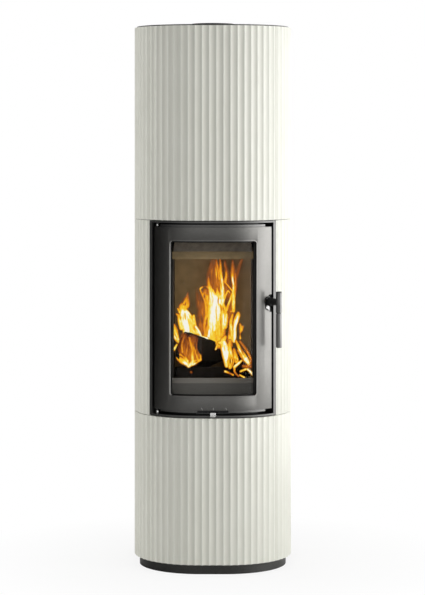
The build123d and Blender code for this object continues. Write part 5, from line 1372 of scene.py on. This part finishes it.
LOG_END = (
    ((183.8, 336, 3.0, 0.24), (184.4, 345, 5.0, 0.26), (184.5, 355, 5.6, 0.34)),
    ((192.5, 340, 4.4, 0.26), (192.4, 348, 5.6, 0.30), (191.8, 358, 6.0, 0.40)),
    ((198.4, 341, 2.6, 0.22), (198.2, 350, 2.8, 0.28), (197.6, 358, 3.0, 0.38)),
    ((188.8, 366.4, 1.0, 0.96), (186.4, 363.0, 2.2, 0.90), (182.4, 361.0, 2.4, 0.74), (178.8, 358.4, 1.6, 0.60)),
    ((188.8, 366.0, 1.0, 0.92), (192.4, 363.0, 2.2, 0.84), (196.4, 361.4, 1.5, 0.64), (200.4, 360.0, 0.8, 0.66)),
    ((178.4, 360.0, 0.8, 0.56), (177.2, 356.8, 0.7, 0.56), (180.4, 354.6, 0.9, 0.60), (184.0, 356.6, 1.0, 0.62),
     (187.2, 361.0, 1.4, 0.84)),
    ((192.9, 361.0, 1.2, 0.84), (192.0, 353.0, 0.9, 0.74), (191.2, 346.4, 0.7, 0.60), (189.4, 338.0, 1.0, 0.42)),
    ((197.9, 359.6, 0.7, 0.62), (196.0, 354.0, 0.6, 0.54), (194.0, 347.0, 0.5, 0.42)),
    ((200.8, 360.0, 0.6, 0.68), (200.2, 353.3, 0.7, 0.52), (199.6, 344.1, 0.8, 0.38)),
    ((182.6, 352.0, 1.0, 0.52), (182.0, 344.1, 1.1, 0.40), (184.2, 336.7, 0.9, 0.32)),
    ((186.8, 354.0, 0.8, 0.16), (187.6, 350.0, 0.7, 0.14)),
)
for name, depth, paths, seed in (("veil", 0.275, VEILS, 2), ("main", 0.240, MAIN, 3), ("sides", 0.215, SIDES, 4),
                                 ("front", 0.125, FRONT, 5), ("log_end", 0.148, LOG_END, 6)):
    flame_sheet(f"flame_{name}", depth, paths, seed)

# %% [markdown]
# Every CAD piece that still shows gets a finish too, even where only a narrow gap lets it be
# seen. The mesh of such a piece is left alone; only the material in its slots changes.

# %% Finishes for the CAD pieces
KEPT = {
    FRAME_PAINT: ("door_surround",),
    INNER_PAINT: ("door_inner_frame",),
    DARK_STEEL: ("latch_keeper", "lintel_shelf", "glass_clips"),
    DEFLECTOR_STEEL: ("smoke_deflector",),
    RETAINER_PAINT: ("log_retainer",),
    BRIGHT_STEEL: ("handle_spindle", "latch_nut", "rear_cover_screws", "levelling_feet"),
    SHEET_STEEL: ("firebox_stand", "carrier_posts", "carrier_rings", "air_box", "air_guides", "air_pipe",
                  "air_collar", "air_valve", "latch_tongue"),
    COVER_PAINT: ("rear_cover_lower", "rear_cover_upper", "flue_collar", "flue_pipe", "flue_plug"),
    BLACK_STEEL: ("firebox_shell", "ash_pan"),
    FIREBRICK: ("lining_back", "baffle_lower", "baffle_upper"),
    # The side linings get a much darker brick than the back lining.
    DARK_SIDE_BRICK: ("lining_right", "lining_left"),
    STORE_BRICK: ("heat_store_right", "heat_store_left"),
    CAST_IRON: ("grate", "lining_base"),
    BUSH_BRASS: ("spindle_bush",),
}
for material, names in KEPT.items():
    for name in names:
        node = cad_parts[name]
        if not node.material_slots:
            node.data.materials.append(material)
        for slot in node.material_slots:
            slot.material = material
shown = {name for names in KEPT.values() for name in names}
print("kept", len(shown), "of", len(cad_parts))

# %% [markdown]
# The studio is plain: a pale floor, a white surround and soft lamps from the right. Dark metal
# shows its shape by what it reflects, so two kinds of lamp are used. The first kind lights the
# tiles and isn't mirrored. The second kind, long cards of light at the right and a graded dark
# card at the left, is seen by reflections only.

# %% Floor
FLOOR_SIZE = 14.0
floor = add(bpy.ops.mesh.primitive_plane_add, "floor", size=FLOOR_SIZE, location=(0.0, 0.0, 0.0))
floor_material, net, shader = new_material("floor_paint")
vector = net.vector()
net.feed(shader, Base_Color=net.ramp(net.noise(vector, 1.5, 2.0), (0.3, (0.86, 0.86, 0.85)), (0.7, (0.88, 0.88, 0.87))),
         Roughness=0.9, Specular_IOR_Level=0.1)
far = net.add("VectorMath")
far.operation = "LENGTH"
net.give(far.inputs[0], vector)
fade = net.spread(far.outputs["Value"], 0.86, 1.0, 0.30, 0.85)
seen = net.math("MULTIPLY", net.add("LightPath").outputs["Is Camera Ray"], fade)
net.surface(seen, shader, net.add("Emission", Color=(1.0, 1.0, 1.0, 1.0)))
floor.data.materials.append(floor_material)

# %% Surroundings
AMBIENT = 0.49
world = bpy.data.worlds.new("studio")
scene.world = world
net = Net(world)
path = net.add("LightPath")
direct = net.math("MAXIMUM", path.outputs["Is Camera Ray"], path.outputs["Is Glossy Ray"])
direct = net.math("MAXIMUM", direct, path.outputs["Is Transmission Ray"])
net.feed(net.nodes["Background"], Color=(1.0, 1.0, 1.0, 1.0), Strength=net.spread(direct, AMBIENT, 1.0, 0.0, 1.0))

# %% Lamps
CARD_LAMP_DISTANCE, CARD_LAMP_MIDDLE, CARD_LAMP_HEIGHT = 2.6, 1.30, 3.0
GLOW_DEPTH, GLOW_MIDDLE, GLOW_SIZE, GLOW_ENERGY, GLOW_COLOUR = 0.105, 0.80, (0.22, 0.30), 0.42, (1.0, 0.84, 0.70)


def area_lamp(name, place, turn, size, energy, colour=(1.0, 1.0, 1.0)):
    """Upright rectangle of light that the camera doesn't see."""
    bpy.ops.object.light_add(type="AREA", location=place, rotation=(UPRIGHT[0], 0.0, turn))
    light = bpy.context.object
    light.name = name
    light.data.shape = "RECTANGLE"
    light.data.size, light.data.size_y = size
    light.data.energy = energy
    light.data.color = colour
    light.visible_camera = False
    return light


def lamp(name, angle, distance, height, size, radiance, mirrored=False):
    """Soft lamp that faces the stove, at an angle from the front towards the right."""
    turn = math.radians(angle)
    place = (distance * math.sin(turn), -distance * math.cos(turn), height)
    light = area_lamp(name, place, turn, size, radiance * math.pi * size[0] * size[1])
    light.visible_transmission = False
    light.visible_glossy = mirrored
    light.visible_diffuse = not mirrored


lamp("key_lamp", 62.0, 3.0, 1.05, (1.2, 2.4), 4.65)
lamp("side_lamp", 102.0, 3.0, 1.15, (1.2, 2.4), 0.8)
lamp("rim_lamp", -100.0, 2.8, 1.30, (1.4, 2.4), 2.85)
for name, angle, width, radiance in (("card_edge", 36.0, 0.35, 1.8), ("card_front", 52.0, 0.9, 3.2),
                                     ("card_side", 78.0, 1.45, 6.2), ("card_back", 122.0, 2.6, 3.2)):
    lamp(name, angle, CARD_LAMP_DISTANCE, CARD_LAMP_MIDDLE, (width, CARD_LAMP_HEIGHT), radiance, mirrored=True)
glow = area_lamp("fire_glow", (0.0, FRONT_Y + GLOW_DEPTH, GLOW_MIDDLE), 0.0, GLOW_SIZE, GLOW_ENERGY, GLOW_COLOUR)
glow.visible_glossy = False

# %% Dark card at the left
CARD_X, CARD_RUN, CARD_DEPTH, CARD_HEIGHT = -1.30, (-3.6, 1.5), (0.0, 0.02), (0.0, 3.0)
card = slab("dark_card", CARD_RUN, CARD_DEPTH, CARD_HEIGHT, CARD_RUN[1] - CARD_RUN[0])
card.rotation_euler = (0.0, 0.0, math.pi / 2)
card.location = (CARD_X, 0.0, 0.0)
settle(card)
card_material, net, shader = new_material("graded_card")
net.nodes.remove(shader)
place = net.spread(net.add("SeparateXYZ", Vector=net.vector()).outputs["Y"], 0.0, 1.0, 0.0, -3.5)
grades = net.ramp(place, (0.0, (0.0, 0.0, 0.0)), (0.17, (0.04, 0.04, 0.04)), (0.30, (0.30, 0.30, 0.30)),
                  (0.48, (0.52, 0.52, 0.52)), (0.78, (0.80, 0.80, 0.79)), (1.0, (0.95, 0.95, 0.94)))
net.give(net.nodes["Material Output"].inputs["Surface"], net.add("Emission", Color=grades).outputs["Emission"])
card.data.materials.append(card_material)
card.visible_camera = card.visible_diffuse = card.visible_transmission = card.visible_shadow = False
